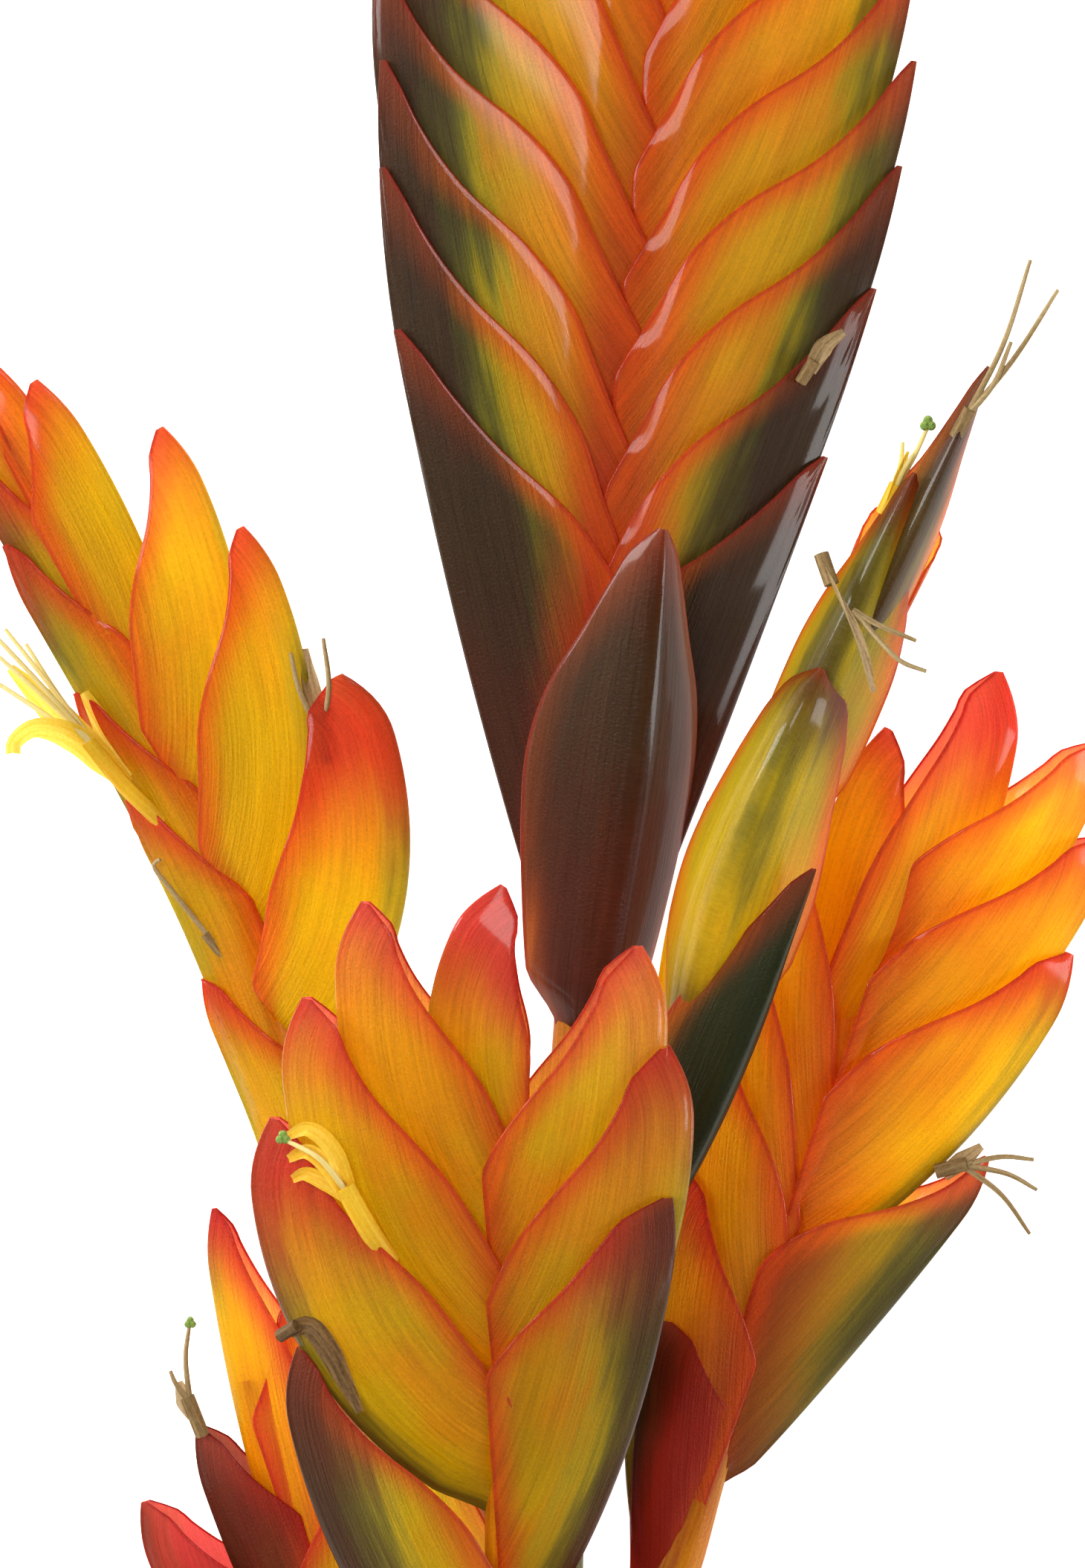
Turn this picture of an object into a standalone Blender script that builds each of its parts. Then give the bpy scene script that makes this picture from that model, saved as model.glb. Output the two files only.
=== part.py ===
"""A branched flower stem of a flaming sword bromeliad, cut and laid on its side.

Each spike is a flat head: a rachis with two opposite ranks of folded, boat-shaped bracts. The big
spike stands on the end of the stem, and five smaller ones branch off below it. Fresh and withered
flowers stand between the bracts. Lengths are in millimetres and angles in degrees. The stem runs
along +Y, +X is to the right of it, and the surface that it lies on is at z = 0.
"""

import math

import bmesh
import bpy
import numpy as np

MM = 0.001
ORIGIN = (-2.8, -19.5, 6.8)  # the point of the layout at the middle of the foot of the part's box

SHEET = 0.6  # thickness of a bract or petal
GAP = 0.3  # between one piece and the next
CLEARANCE_WIDTH = 1.05  # of a bract for what stands clear of it, as a part of its own width
RACHIS_RADIUS = (3.0, 1.5)  # at the foot and at the tip of a spike
STEM_RADIUS = (4.1, 3.1)  # at the cut end and at the top
THREAD_RADIUS = 0.35  # of a stamen or style
PETAL_FOLD = 0.35  # how deep a petal is folded, as a part of its half width

STEM_COLOUR = (0.091, 0.102, 0.026)
ROUGHNESS = 0.4

LEFT, RIGHT = -1, 1

# Half width of a bract along its length, as a part of its widest: pointed and blunt kinds.
WIDTH_AT = (0.0, 0.12, 0.28, 0.42, 0.55, 0.67, 0.8, 0.9, 0.96, 1.0)
POINTED = (0.78, 0.9, 0.98, 1.0, 0.97, 0.8, 0.45, 0.23, 0.12, 0.03)
BLUNT = (0.74, 0.88, 0.97, 1.0, 0.95, 0.83, 0.65, 0.49, 0.33, 0.06)
FOOT_LENGTH = 0.12  # the part of a bract's length over which it widens from the rachis
FOOT_SIZE = 0.5
BEND_FROM = 0.84  # where along a bract its keel starts to bend in to the tip
LEAST_OFF = 1.0  # distance off the rachis under which a bract gets no narrower
RIDGE_WIDTH = 3.5  # of the groove along the middle of a spike
LAP = 0.35  # height of a bract over the next one that it lies on
LAP_FADE = 2.0  # distance over which a bract bends onto the next one
OPEN_AT_TIP = 0.3  # distance inside the keel at which the flanks of a tip stand apart
COVERED = 4  # how many of the next bracts it lies over
TURNED = 20  # a bract rolled further than this round the rachis lies over none

# How finely the solids are divided.
ALONG = (0.0, 0.25, 0.6, 0.9, 1.0)
ACROSS = (-1.0, -0.3, 0.0, 0.3, 1.0)
RACHIS_STEPS = 10
STEM_SIDES = 4  # points added to each quarter's rounding


class Path:
    """A smooth line through points, read by the distance along it. It runs on straight past its ends."""

    def __init__(self, points, per_span=16):
        points = np.array(points, float)
        before, after = 2 * points[0] - points[1], 2 * points[-1] - points[-2]
        padded = np.vstack([before, points, after])
        t = np.linspace(0, 1, per_span, endpoint=False)[:, None]
        spans = []
        for a, b, c, d in zip(padded, padded[1:], padded[2:], padded[3:]):
            bend = (2 * a - 5 * b + 4 * c - d) * t**2 + (3 * b - a - 3 * c + d) * t**3
            spans.append(b + ((c - a) * t + bend) / 2)
        self.points = np.vstack(spans + [points[-1:]])
        steps = np.linalg.norm(np.diff(self.points, axis=0), axis=1)
        self.along = np.concatenate([[0], np.cumsum(steps)])
        self.length = self.along[-1]
        tangents = np.gradient(self.points, axis=0)
        self.tangents = tangents / np.linalg.norm(tangents, axis=1)[:, None]

    def at(self, station):
        """The points and unit tangents at these distances along the line."""
        read = [np.interp(station, self.along, self.points[:, k]) for k in range(3)]
        turn = [np.interp(station, self.along, self.tangents[:, k]) for k in range(3)]
        tangent = np.stack(turn, -1)
        tangent /= np.linalg.norm(tangent, axis=-1, keepdims=True)
        past = np.maximum(station - self.length, 0) + np.minimum(station, 0)
        return np.stack(read, -1) + tangent * np.asarray(past)[..., None], tangent


def smoothstep(x):
    x = np.clip(x, 0, 1)
    return x * x * (3 - 2 * x)


def base_angle(length, rise, tip_angle):
    """The angle at which a bract of this length leaves the rachis so that its tip stands off by rise."""
    low, high = 1.0, 75.0
    for _ in range(40):
        middle = (low + high) / 2
        start, end = math.radians(middle), math.radians(tip_angle)
        turn = end - start if abs(end - start) > 1e-6 else 1e-6
        if length * (math.cos(start) - math.cos(end)) / turn < rise:
            low = middle
        else:
            high = middle
    return low


def bract(side, station, reach, tip_angle, half_width, **changes):
    """One bract: its rank, where its tip is along the rachis and off it, its tip's lean and its width."""
    row = dict(side=side, station=station, reach=reach, tip_angle=tip_angle, half_width=half_width)
    row.update(changes)
    return row


def with_defaults(row, spike):
    whole = dict(length=spike["length"], depth=spike["depth"], blunt=spike["blunt"], roll=0, start=2.4)
    whole.update(power=0.7, taper=0, clasp=0.1, groove=0.3, round=0)
    whole["bend"] = spike["bend"]
    whole.update(row)
    if "base_angle" not in whole:
        rise = whole["reach"] + whole["bend"] - whole["start"]
        whole["base_angle"] = base_angle(whole["length"], rise, whole["tip_angle"])
    return whole


def keel(row, u):
    """Distance off the rachis, station along it and lean of a bract's keel, from base (0) to tip (1)."""
    start, end = math.radians(row["base_angle"]), math.radians(row["tip_angle"])
    turn = end - start if abs(end - start) > 1e-3 else 1e-3
    angle = start + turn * u
    size = row["length"] / turn
    base = row["station"] - size * (math.sin(start + turn) - math.sin(start))
    off = row["start"] + size * (math.cos(start) - np.cos(angle))
    off = off - row["bend"] * (np.maximum(u - BEND_FROM, 0) / (1 - BEND_FROM)) ** 2
    return off, base + size * (np.sin(angle) - math.sin(start)), angle


def fold_height(row, x, s):
    """How high a bract's flank stands over its fold, at a distance x off the rachis and a station s."""
    off_line, station_line, _ = keel(row, np.linspace(0, 1, 60))
    inside = np.maximum(np.interp(s, station_line, off_line, right=0) - np.abs(x), OPEN_AT_TIP)
    valley = 1 - row["groove"] * np.exp(-((x / RIDGE_WIDTH) ** 2))
    return row["depth"] * (inside / 20) ** row["power"] * valley


def lapped_height(row, x, s):
    """The flank's height where it also lies over the flanks of the bracts above it."""
    height = fold_height(row, x, s)
    for step, upper in enumerate(row.get("over", ()), 1):
        off_line, station_line, _ = keel(upper, np.linspace(0, 1, 60))
        limit = np.interp(s, station_line, off_line)
        own_side = x * row["side"] * upper["side"]
        reached = smoothstep((own_side + upper["clasp"] * limit) / LAP_FADE) * (np.abs(x) < limit)
        height = np.maximum(height, (fold_height(upper, x, s) + step * LAP) * reached)
    return height


def bract_points(spike, row, u, v):
    """Points on a folded bract. v runs from one margin (-1) over the keel (0) to the other margin (1)."""
    u, v = np.broadcast_arrays(np.asarray(u, float), np.asarray(v, float))
    off, station, angle = keel(row, u)
    pointed, blunt = np.interp(u, WIDTH_AT, POINTED), np.interp(u, WIDTH_AT, BLUNT)
    shape = (pointed + (blunt - pointed) * row["blunt"]) * (1 - row["taper"] * (1 - u))
    reach = (1 + row["clasp"]) * np.maximum(off, LEAST_OFF) / np.cos(angle)
    width = np.minimum(row["half_width"] * shape, reach)
    inward = np.abs(v) * width
    x = off - inward * np.cos(angle)
    s = station + inward * np.sin(angle)
    if row["round"]:
        height = row["round"] * width * np.abs(v) ** row["power"]
    else:
        height = lapped_height(row, x, s)
    foot = FOOT_SIZE + (1 - FOOT_SIZE) * smoothstep(u / FOOT_LENGTH)
    place, tangent = spike["path"].at(s)
    face = np.array(spike["face"], float)
    normal = face - tangent * (tangent @ face)[..., None]
    normal /= np.linalg.norm(normal, axis=-1, keepdims=True)
    sideways = np.cross(tangent, normal) * row["side"]
    turn = math.radians(row["roll"])
    outward = math.cos(turn) * sideways + math.sin(turn) * normal
    upward = math.cos(turn) * normal - math.sin(turn) * sideways
    return place + (x * foot)[..., None] * outward + (np.sign(v) * height * foot)[..., None] * upward


def cover_rows(rows):
    """Gives each bract the ones above it that its flanks lie over. Turned bracts stand apart."""
    for index, row in enumerate(rows):
        near = rows[index + 1:index + 1 + COVERED]
        row["over"] = [upper for upper in near if max(abs(upper["roll"]), abs(row["roll"])) < TURNED]


# The layout. Axis points are (x, y, z) and a spike's face is the direction that its flat side looks in.
STEM = (
    (-1, -172, 10.7), (-0.5, -140, 11.2), (0, -110, 11.7),
    (1, -75, 12.2), (2.2, -48, 12.4), (3.7, -29.7, 12.5),
)

# Scale leaves that clasp the stem below its lowest branch.
SCALES = dict(
    face=(0, 0, 1), depth=9, length=30, blunt=0.5, bend=0,
    bracts=[
        bract(RIGHT, 31, 5.4, 3, 8, start=4, power=0.5, groove=0, clasp=0.5, length=26),
        bract(LEFT, 22, 5.6, 3, 8, start=4, power=0.5, groove=0, clasp=0.5, length=19),
    ],
)

SPIKES = {
    "spike_centre": dict(
        colour=(0.753, 0.223, 0.010),
        axis=((3.7, -29.7, 12.5), (7.1, 22.6, 14.5), (12.3, 81, 13.3), (14.5, 104, 12.4)),
        face=(0.05, 0, 1), depth=7.2, length=64, blunt=0, bend=0,
        bracts=[
            bract(LEFT, 45, 8, 4, 15, roll=-86, length=42, start=3, round=0.95, power=0.5),
            bract(
                RIGHT, 56, 17, 6, 11, roll=76, length=55, start=5, round=1.05, power=0.6, clasp=0.5,
                blunt=0.4, taper=0.4,
            ),
            bract(RIGHT, 65.5, 21.5, 15, 17.5, length=65),
            bract(LEFT, 74.5, 24.5, 16, 17.5, length=70),
            bract(RIGHT, 83.5, 25, 11, 16, length=68),
            bract(LEFT, 91, 27.5, 7, 16.5, length=69),
            bract(RIGHT, 96.5, 26.5, 6, 16.5, length=66),
            bract(LEFT, 102, 28.5, 2, 17, length=67),
            bract(RIGHT, 107.5, 27, 3, 17),
            bract(LEFT, 113, 30, 0, 17),
            bract(RIGHT, 118, 26, 2, 16.5),
            bract(LEFT, 122.5, 29, 0, 16.5),
            bract(RIGHT, 128, 24.5, 2, 16, length=62),
            bract(LEFT, 131.5, 26.5, 0, 15.5, length=60),
            bract(RIGHT, 137, 22, 2, 15, length=58),
            bract(LEFT, 140.5, 23, 0, 14, length=55),
            bract(RIGHT, 145.5, 19, 2, 13.5, length=53),
            bract(LEFT, 148, 18, 0, 13, length=49),
            bract(RIGHT, 153, 15, 2, 12.5, length=46),
            bract(LEFT, 156, 12.5, 0, 11.5, length=42),
            bract(RIGHT, 159, 10, 2, 11, length=40),
            bract(LEFT, 163, 3.5, -2, 10, length=36),
        ],
    ),
    "spike_left": dict(
        colour=(0.716, 0.242, 0.007),
        axis=(
            (1, -80, 12.1), (-9, -68, 12.5), (-19, -52, 11.5),
            (-25.5, -30, 10.2), (-36, -1.8, 11.5), (-55.8, 36, 13.5),
        ),
        face=(-0.2, -0.1, 0.95), depth=6.5, length=44, blunt=0.5, bend=1.2,
        bracts=[
            bract(LEFT, 70, 6.5, 4, 10, length=36, start=5, clasp=0.3),
            bract(RIGHT, 93, 20, 0, 13, blunt=1.3, bend=3),
            bract(LEFT, 91, 6.5, 4, 10.5, start=5.5, clasp=0.3),
            bract(RIGHT, 110.5, 18, 0, 11.5),
            bract(LEFT, 103.5, 6.5, 2, 10, start=5.5, clasp=0.3),
            bract(RIGHT, 123.5, 15.5, -2, 11.5),
            bract(LEFT, 120.5, 5.5, 0, 10, start=4.5, clasp=0.3),
            bract(RIGHT, 134, 6, -8, 12, blunt=0.6),
            bract(LEFT, 130.5, 4.5, 0, 9.5, start=4, clasp=0.3),
            bract(RIGHT, 138.5, 2.4, -8, 11, blunt=0.5),
            bract(LEFT, 141.5, 3.6, 0, 9),
        ],
    ),
    "spike_front": dict(
        colour=(0.716, 0.205, 0.010),
        axis=(
            (0, -128, 11.2), (-2.5, -117, 19), (-3.5, -103.4, 30),
            (-3.7, -66, 42), (-4.5, -25, 50),
        ),
        face=(0, -0.2, 1), depth=7, length=50, blunt=0.75, bend=2,
        bracts=[
            bract(RIGHT, 44, 8, 6, 12, length=32),
            bract(LEFT, 50, 10, 6, 12, length=36),
            bract(RIGHT, 56, 12, 6, 13, length=40),
            bract(LEFT, 81.5, 20.5, 4, 14.5, blunt=0.3),
            bract(RIGHT, 96.5, 17, 6, 17, bend=1),
            bract(LEFT, 105, 22.5, -6, 15),
            bract(RIGHT, 111.5, 17, -6, 16),
            bract(LEFT, 117, 19, -6, 14.5),
            bract(RIGHT, 121.5, 14.5, -6, 16),
            bract(LEFT, 126.5, 13, -10, 13.5, length=46),
            bract(LEFT, 128, -0.7, -38, 10, length=30, blunt=1.2, start=4, round=0.4, clasp=4),
        ],
    ),
    "spike_right": dict(
        colour=(0.753, 0.188, 0.013),
        axis=(
            (0.5, -100, 11.7), (8, -92, 10.5), (13.2, -83.3, 9.8),
            (17.4, -69.4, 9.8), (24.8, -46, 12), (39.3, -7.3, 16),
        ),
        face=(0.1, -0.1, 1), depth=7, length=47, blunt=0.65, bend=1.6,
        bracts=[
            bract(LEFT, 48, 9, 8, 13, length=34),
            bract(LEFT, 63.5, 13, 4, 14),
            bract(RIGHT, 74.5, 18, 14, 14.5, blunt=0),
            bract(LEFT, 81, 17, 2, 14),
            bract(RIGHT, 97.5, 18.5, 4, 15),
            bract(LEFT, 99.5, 23, 0, 14, length=60, bend=0.5),
            bract(RIGHT, 110, 17.5, 2, 15),
            bract(LEFT, 109.5, 21, -2, 14, length=60, bend=0.5),
            bract(RIGHT, 119, 13.5, 0, 14.5),
            bract(LEFT, 113, 8.5, -6, 13),
            bract(RIGHT, 122.5, 1, -16, 12, blunt=1.1, bend=2.5, length=44, start=3.5, round=0.4, clasp=4),
        ],
    ),
    "spike_edge": dict(
        colour=(0.223, 0.141, 0.017),
        axis=(
            (1.4, -64, 12.3), (3, -57, 18), (6, -50, 24),
            (10, -42, 28), (20, -10.8, 36), (34.4, 21.8, 42),
        ),
        face=(0.88, -0.4, 0.1), depth=8.5, length=46, blunt=0.3, bend=0,
        bracts=[
            bract(LEFT, 69, 10, -4, 7.5, roll=41, start=3, round=0.75, power=0.6, clasp=0.4),
            bract(RIGHT, 71, 9, 4, 12, length=34),
            bract(LEFT, 87.5, 9, -6, 10.5, roll=-7, blunt=1.3, bend=1.5, round=0.68, power=0.55, clasp=0.4),
            bract(RIGHT, 91, 9, 4, 12, length=34),
            bract(LEFT, 109, 9, -5, 9, roll=-5, blunt=0.4, round=0.6, power=0.55, clasp=0.4),
            bract(RIGHT, 111, 9, 2, 10, length=34),
            bract(LEFT, 121.5, 9, -6, 6.5, roll=10, round=0.5, power=0.6, clasp=0.4),
        ],
    ),
    "spike_low_left": dict(
        colour=(0.578, 0.156, 0.017),
        axis=(
            (-0.5, -140, 11.4), (-8, -131, 11), (-16.2, -120, 12),
            (-19, -105, 13.2), (-23, -84, 16.2), (-29.7, -61, 18),
        ),
        face=(-0.2, -0.1, 1), depth=6.5, length=40, blunt=0.5, bend=1.2,
        bracts=[
            bract(LEFT, 67, 19, 4, 13),
            bract(RIGHT, 67, 12, 10, 13),
            bract(LEFT, 77, 15.5, -4, 13, blunt=0.6),
            bract(RIGHT, 79.5, 12.5, 6, 12.5),
            bract(LEFT, 83, 7.5, -2, 12.5, blunt=0.5),
            bract(RIGHT, 94, 7, 0, 11),
            bract(LEFT, 104.5, -2, -10, 8.5, blunt=0.6, start=3.5, round=0.4, clasp=4),
        ],
    ),
}


# Flowers. Each has a root among the bracts, petals as a line with its widths, threads (stamens and
# styles) and knobs (stigmas). It stands clear of the spikes that it is near.
FRESH, WITHERED = (0.83, 0.515, 0.007), (0.305, 0.188, 0.08)
FLOWERS = {
    "flower_left": dict(
        colour=FRESH, near=("spike_left",), root_radius=0.9, facing=(0.2, -0.3, 1),
        root=((-39.5, -4, 12), (-43.5, 0, 13), (-47, 4.5, 14.5)),
        petals=[
            (
                ((-43, 0, 12.8), (-48, 4.5, 15.5), (-52, 5.8, 17), (-54.3, 4.4, 17.3), (-54.6, 3, 16)),
                (1.5, 3, 3, 2, 1.5),
            ),
            (((-43, 0, 12.8), (-48, 5, 14), (-52, 9, 14.5), (-55, 12, 15)), (1.5, 3, 3, 1)),
            (((-42.5, 1, 12.6), (-45.5, 6, 12.5), (-47.5, 9.5, 13)), (1.5, 2.6, 1)),
        ],
        threads=[
            ((-45.5, 3, 14), (-50, 9, 15), (-55.5, 16, 15.5)),
            ((-45.5, 3, 14), (-51, 8.6, 16.5), (-57, 14, 17.5)),
            ((-45.5, 3, 14), (-50, 9, 13.6), (-53.5, 14.5, 13.5)),
            ((-45.5, 3, 14), (-52, 7.6, 15.4), (-58, 11.5, 15.5)),
            ((-45.5, 3, 14), (-51.5, 10, 17), (-57.5, 16.5, 18)),
        ],
        knobs=[((-57.7, 16.8, 18), 0.8)],
    ),
    "flower_front": dict(
        colour=FRESH, near=("spike_front",), root_radius=1.1, facing=(0.3, 0.1, 1),
        root=((-15, -47, 49.4), (-17.2, -43.5, 51), (-19.4, -39.4, 52)),
        petals=[
            (
                ((-19, -40.2, 52), (-20.4, -36, 53), (-22.8, -33.8, 52.6), (-25.2, -34.6, 51)),
                (2, 1.9, 1.7, 0.8),
            ),
            (
                ((-19, -40.2, 52), (-20.9, -37.6, 52.8), (-23, -36, 52.4), (-25, -36.8, 51)),
                (2, 1.8, 1.6, 0.8),
            ),
            (
                ((-19, -40.2, 52), (-21.3, -39, 52.4), (-23.2, -38.2, 52), (-24.6, -38.8, 51)),
                (2, 1.7, 1.5, 0.8),
            ),
        ],
        threads=[((-19, -40.2, 52), (-21.8, -36.6, 54), (-25.2, -34.8, 53))],
        knobs=[((-25.4, -34.6, 53), 0.8)],
    ),
    "flower_edge": dict(
        colour=FRESH, near=("spike_edge",), root_radius=0.9, facing=(0.8, -0.4, 0.3),
        root=((33.6, 26.6, 48.6), (34.9, 29.4, 49.4)),
        petals=[(((34.2, 28, 49.2), (35.3, 31, 50.2), (35.9, 32.6, 50.6)), (1.8, 2.2, 1))],
        threads=[
            ((34.6, 28.8, 49.3), (35.2, 31.5, 50), (35.4, 33.6, 50)),
            ((34.6, 28.8, 49.3), (35.6, 31, 50.6), (36.6, 32.6, 50.8)),
            ((34.6, 28.8, 49.3), (36.4, 32, 50.6), (37.8, 35, 51.5)),
        ],
        knobs=[((37.8, 35.3, 51.5), 0.9)],
    ),
    "withered_left": dict(
        colour=WITHERED, near=("spike_left", "spike_centre"), root_radius=0.8, facing=(0.3, 0, 1),
        root=((-22.2, 2, 17), (-22.8, 5.5, 17)),
        petals=[
            (
                ((-22.5, 4.5, 17), (-23.4, 8, 16.6), (-24.2, 11.5, 15.8), (-24.6, 14, 15.2)),
                (1.6, 2.2, 1.8, 0.8),
            ),
        ],
        threads=[
            ((-22.8, 5, 17.2), (-25, 9.5, 17.4), (-26, 13.5, 16.4)),
            ((-22.8, 5, 17.2), (-22, 10, 17.6), (-22.6, 15, 16.6)),
        ],
        knobs=[],
    ),
    "withered_low": dict(
        colour=WITHERED, near=("spike_left",), root_radius=0.6, facing=(0, 0, 1),
        root=((-33, -18, 11.6), (-35, -15.5, 11.8)),
        petals=[],
        threads=[((-34.5, -16, 11.8), (-38.5, -11, 12.2), (-40.3, -8.6, 12.7), (-39.6, -7.8, 13.2))],
        knobs=[],
    ),
    "withered_edge": dict(
        colour=WITHERED, near=("spike_edge",), root_radius=0.8, facing=(0.8, -0.4, 0.3),
        root=((27.4, 22.6, 49.8), (28.4, 19.6, 50.4)),
        petals=[(((27.8, 21.5, 50), (30, 17, 51.8), (31.5, 13, 52), (32.5, 9, 51)), (1.6, 2.4, 2, 1))],
        threads=[
            ((30.5, 17, 51.7), (33, 14, 53), (35, 12, 54), (37.5, 11, 54)),
            ((30.5, 17, 51.7), (33, 15.5, 53), (36.5, 14, 54)),
        ],
        knobs=[],
    ),
    "withered_tip": dict(
        colour=WITHERED, near=("spike_edge",), root_radius=0.7, facing=(0.8, -0.4, 0.3),
        root=((40.4, 34, 53), (41.8, 36.6, 54.2)),
        petals=[],
        threads=[
            ((41.5, 36, 54), (45, 43, 55), (47.6, 51.1, 55)),
            ((41.5, 36, 54), (46, 41.5, 55), (50.3, 48.2, 55)),
            ((41.5, 36, 54), (44, 39, 55), (45.7, 43.1, 55.5)),
        ],
        knobs=[],
    ),
    "withered_right": dict(
        colour=WITHERED, near=("spike_right",), root_radius=0.8, facing=(0, 0, 1),
        root=((40.8, -40.2, 12.2), (44, -39.3, 12.7)),
        petals=[(((41.5, -40.5, 12.5), (43.5, -39, 13.1), (45.5, -37.5, 13.2)), (1.5, 2, 0.8))],
        threads=[
            ((43.5, -39.5, 12.6), (47.5, -38.6, 13.4), (50.9, -38.9, 13.2)),
            ((43.5, -39.5, 12.6), (47.5, -42.5, 13.4), (50.5, -46.6, 13)),
            ((43.5, -39.5, 12.6), (48, -40.3, 13.8), (51.2, -42, 13.6)),
        ],
        knobs=[],
    ),
    "withered_low_left": dict(
        colour=WITHERED, near=("spike_low_left",), root_radius=0.8, facing=(0, 0, 1),
        root=((-35, -67, 17.8), (-36.5, -63, 18.6)),
        petals=[(((-35.8, -65, 18.4), (-36.6, -63.6, 19), (-37.4, -61.4, 19)), (1.5, 2, 0.8))],
        threads=[
            ((-36.2, -63.8, 18.5), (-37.6, -61.6, 19.8), (-38.2, -60.2, 20)),
            ((-36.2, -63.8, 18.5), (-36.6, -59, 20.4), (-36.2, -55.5, 21)),
        ],
        knobs=[((-36.1, -55.2, 21), 0.7)],
    ),
    "withered_front": dict(
        colour=WITHERED, near=("spike_front",), root_radius=0.7, facing=(0, 0, 1),
        root=((-26, -54.6, 45.4), (-24.2, -53.4, 47)),
        petals=[
            (
                (
                    (-25, -54, 46.4), (-23, -53.5, 47.5), (-21, -56, 47.6),
                    (-19.5, -59, 47.2), (-18, -62, 46.9),
                ),
                (1.4, 2.2, 2.2, 1.6, 0.8),
            ),
        ],
        threads=[],
        knobs=[],
    ),
    "withered_centre": dict(
        colour=WITHERED, near=("spike_centre",), root_radius=0.7, facing=(0, 0, 1),
        root=((26.6, 41.4, 17), (28, 43.6, 17.8)),
        petals=[(((27.5, 42.5, 17.6), (29, 45, 18.4), (31, 46.5, 18.2)), (1.4, 2, 0.8))],
        threads=[],
        knobs=[],
    ),
}


def new_material(name, colour, roughness):
    material = bpy.data.materials.new(name)
    material.use_nodes = True
    shader = material.node_tree.nodes["Principled BSDF"]
    shader.inputs["Base Color"].default_value = (*colour, 1)
    shader.inputs["Roughness"].default_value = roughness
    return material


def new_object(name, collection, points, faces):
    """A mesh object from points in millimetres of the layout."""
    mesh = bpy.data.meshes.new(name)
    placed = (np.asarray(points, float) - ORIGIN) * MM
    mesh.from_pydata(placed.tolist(), [], faces)
    made = bpy.data.objects.new(name, mesh)
    collection.objects.link(made)
    return made


def grid_triangles(rows, columns, flipped):
    """Triangles of a grid of points, row by row."""
    faces = []
    for i in range(rows - 1):
        for j in range(columns - 1):
            a = i * columns + j
            b, c, d = a + 1, a + columns + 1, a + columns
            faces += [(a, d, c), (a, c, b)]
    return [face[::-1] for face in faces] if flipped else faces


def baked(source):
    """The object with its modifiers applied."""
    graph = bpy.context.evaluated_depsgraph_get()
    mesh = bpy.data.meshes.new_from_object(source.evaluated_get(graph))
    made = bpy.data.objects.new(source.name, mesh)
    made.matrix_world = source.matrix_world
    source.users_collection[0].objects.link(made)
    name = source.name
    bpy.data.objects.remove(source)
    made.name = name
    return made


def weld(made):
    edit = bmesh.new()
    edit.from_mesh(made.data)
    bmesh.ops.remove_doubles(edit, verts=edit.verts, dist=1e-6)
    bmesh.ops.recalc_face_normals(edit, faces=edit.faces)
    edit.to_mesh(made.data)
    edit.free()


def solid_sheet(name, collection, points, thickness, offset=1):
    """A closed sheet from a grid of points, thickened away from its inner side."""
    rows, columns = points.shape[:2]
    made = new_object(name, collection, points.reshape(-1, 3), grid_triangles(rows, columns, False))
    solidify = made.modifiers.new("thickness", "SOLIDIFY")
    solidify.thickness = thickness * MM
    solidify.offset = offset
    return baked(made)


def petal_points(points, widths, facing):
    """A folded strip along a line: two edges with the middle set back between them."""
    path = Path(points)
    stations = np.linspace(0, path.length, len(points))
    place, tangent = path.at(stations)
    sideways = np.cross(tangent, facing)
    sideways /= np.linalg.norm(sideways, axis=1)[:, None]
    normal = np.cross(sideways, tangent)
    half = np.array(widths)[:, None] / 2
    middle = place - PETAL_FOLD * half * normal
    return np.stack([place - half * sideways, middle, place + half * sideways], 1)


def solid_bract(name, collection, spike, row, thickness, offset=1, spread=1):
    along, across = np.array(ALONG)[:, None], np.array(ACROSS)[None, :]
    points = bract_points(spike, row, along, across * spread)
    if row["side"] == LEFT:
        points = points[:, ::-1]
    return solid_sheet(name, collection, points, thickness, offset)


def tube(name, collection, points, radii, sides=1):
    """A round rod along points, with flat ends."""
    curve = bpy.data.curves.new(name, "CURVE")
    curve.dimensions = "3D"
    curve.bevel_depth = MM
    curve.bevel_resolution = sides
    curve.use_fill_caps = True
    spline = curve.splines.new("POLY")
    spline.points.add(len(points) - 1)
    for target, point, radius in zip(spline.points, points, radii):
        x, y, z = (np.asarray(point) - ORIGIN) * MM
        target.co = (x, y, z, 1)
        target.radius = radius
    made = baked(link_curve(name, curve, collection))
    weld(made)
    return made


def link_curve(name, curve, collection):
    made = bpy.data.objects.new(name, curve)
    collection.objects.link(made)
    return made


def combine(base, helpers, operation):
    """One Boolean of the base with everything in the helpers collection, which is emptied."""
    boolean = base.modifiers.new("combine", "BOOLEAN")
    boolean.operation = operation
    boolean.operand_type = "COLLECTION"
    boolean.collection = helpers
    boolean.solver = "MANIFOLD"
    made = baked(base)
    for used in list(helpers.objects):
        bpy.data.objects.remove(used)
    return made


def keep_largest_piece(made):
    """Drops the loose scraps and the sealed hollows that joining leaves."""
    edit = bmesh.new()
    edit.from_mesh(made.data)
    left = set(edit.verts)
    pieces = []
    while left:
        seed = left.pop()
        piece, front = {seed}, [seed]
        while front:
            for edge in front.pop().link_edges:
                for vertex in edge.verts:
                    if vertex in left:
                        left.discard(vertex)
                        piece.add(vertex)
                        front.append(vertex)
        pieces.append(piece)
    largest = max(pieces, key=len)
    loose = [vertex for piece in pieces if piece is not largest for vertex in piece]
    bmesh.ops.delete(edit, geom=loose, context="VERTS")
    edit.to_mesh(made.data)
    edit.free()


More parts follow.
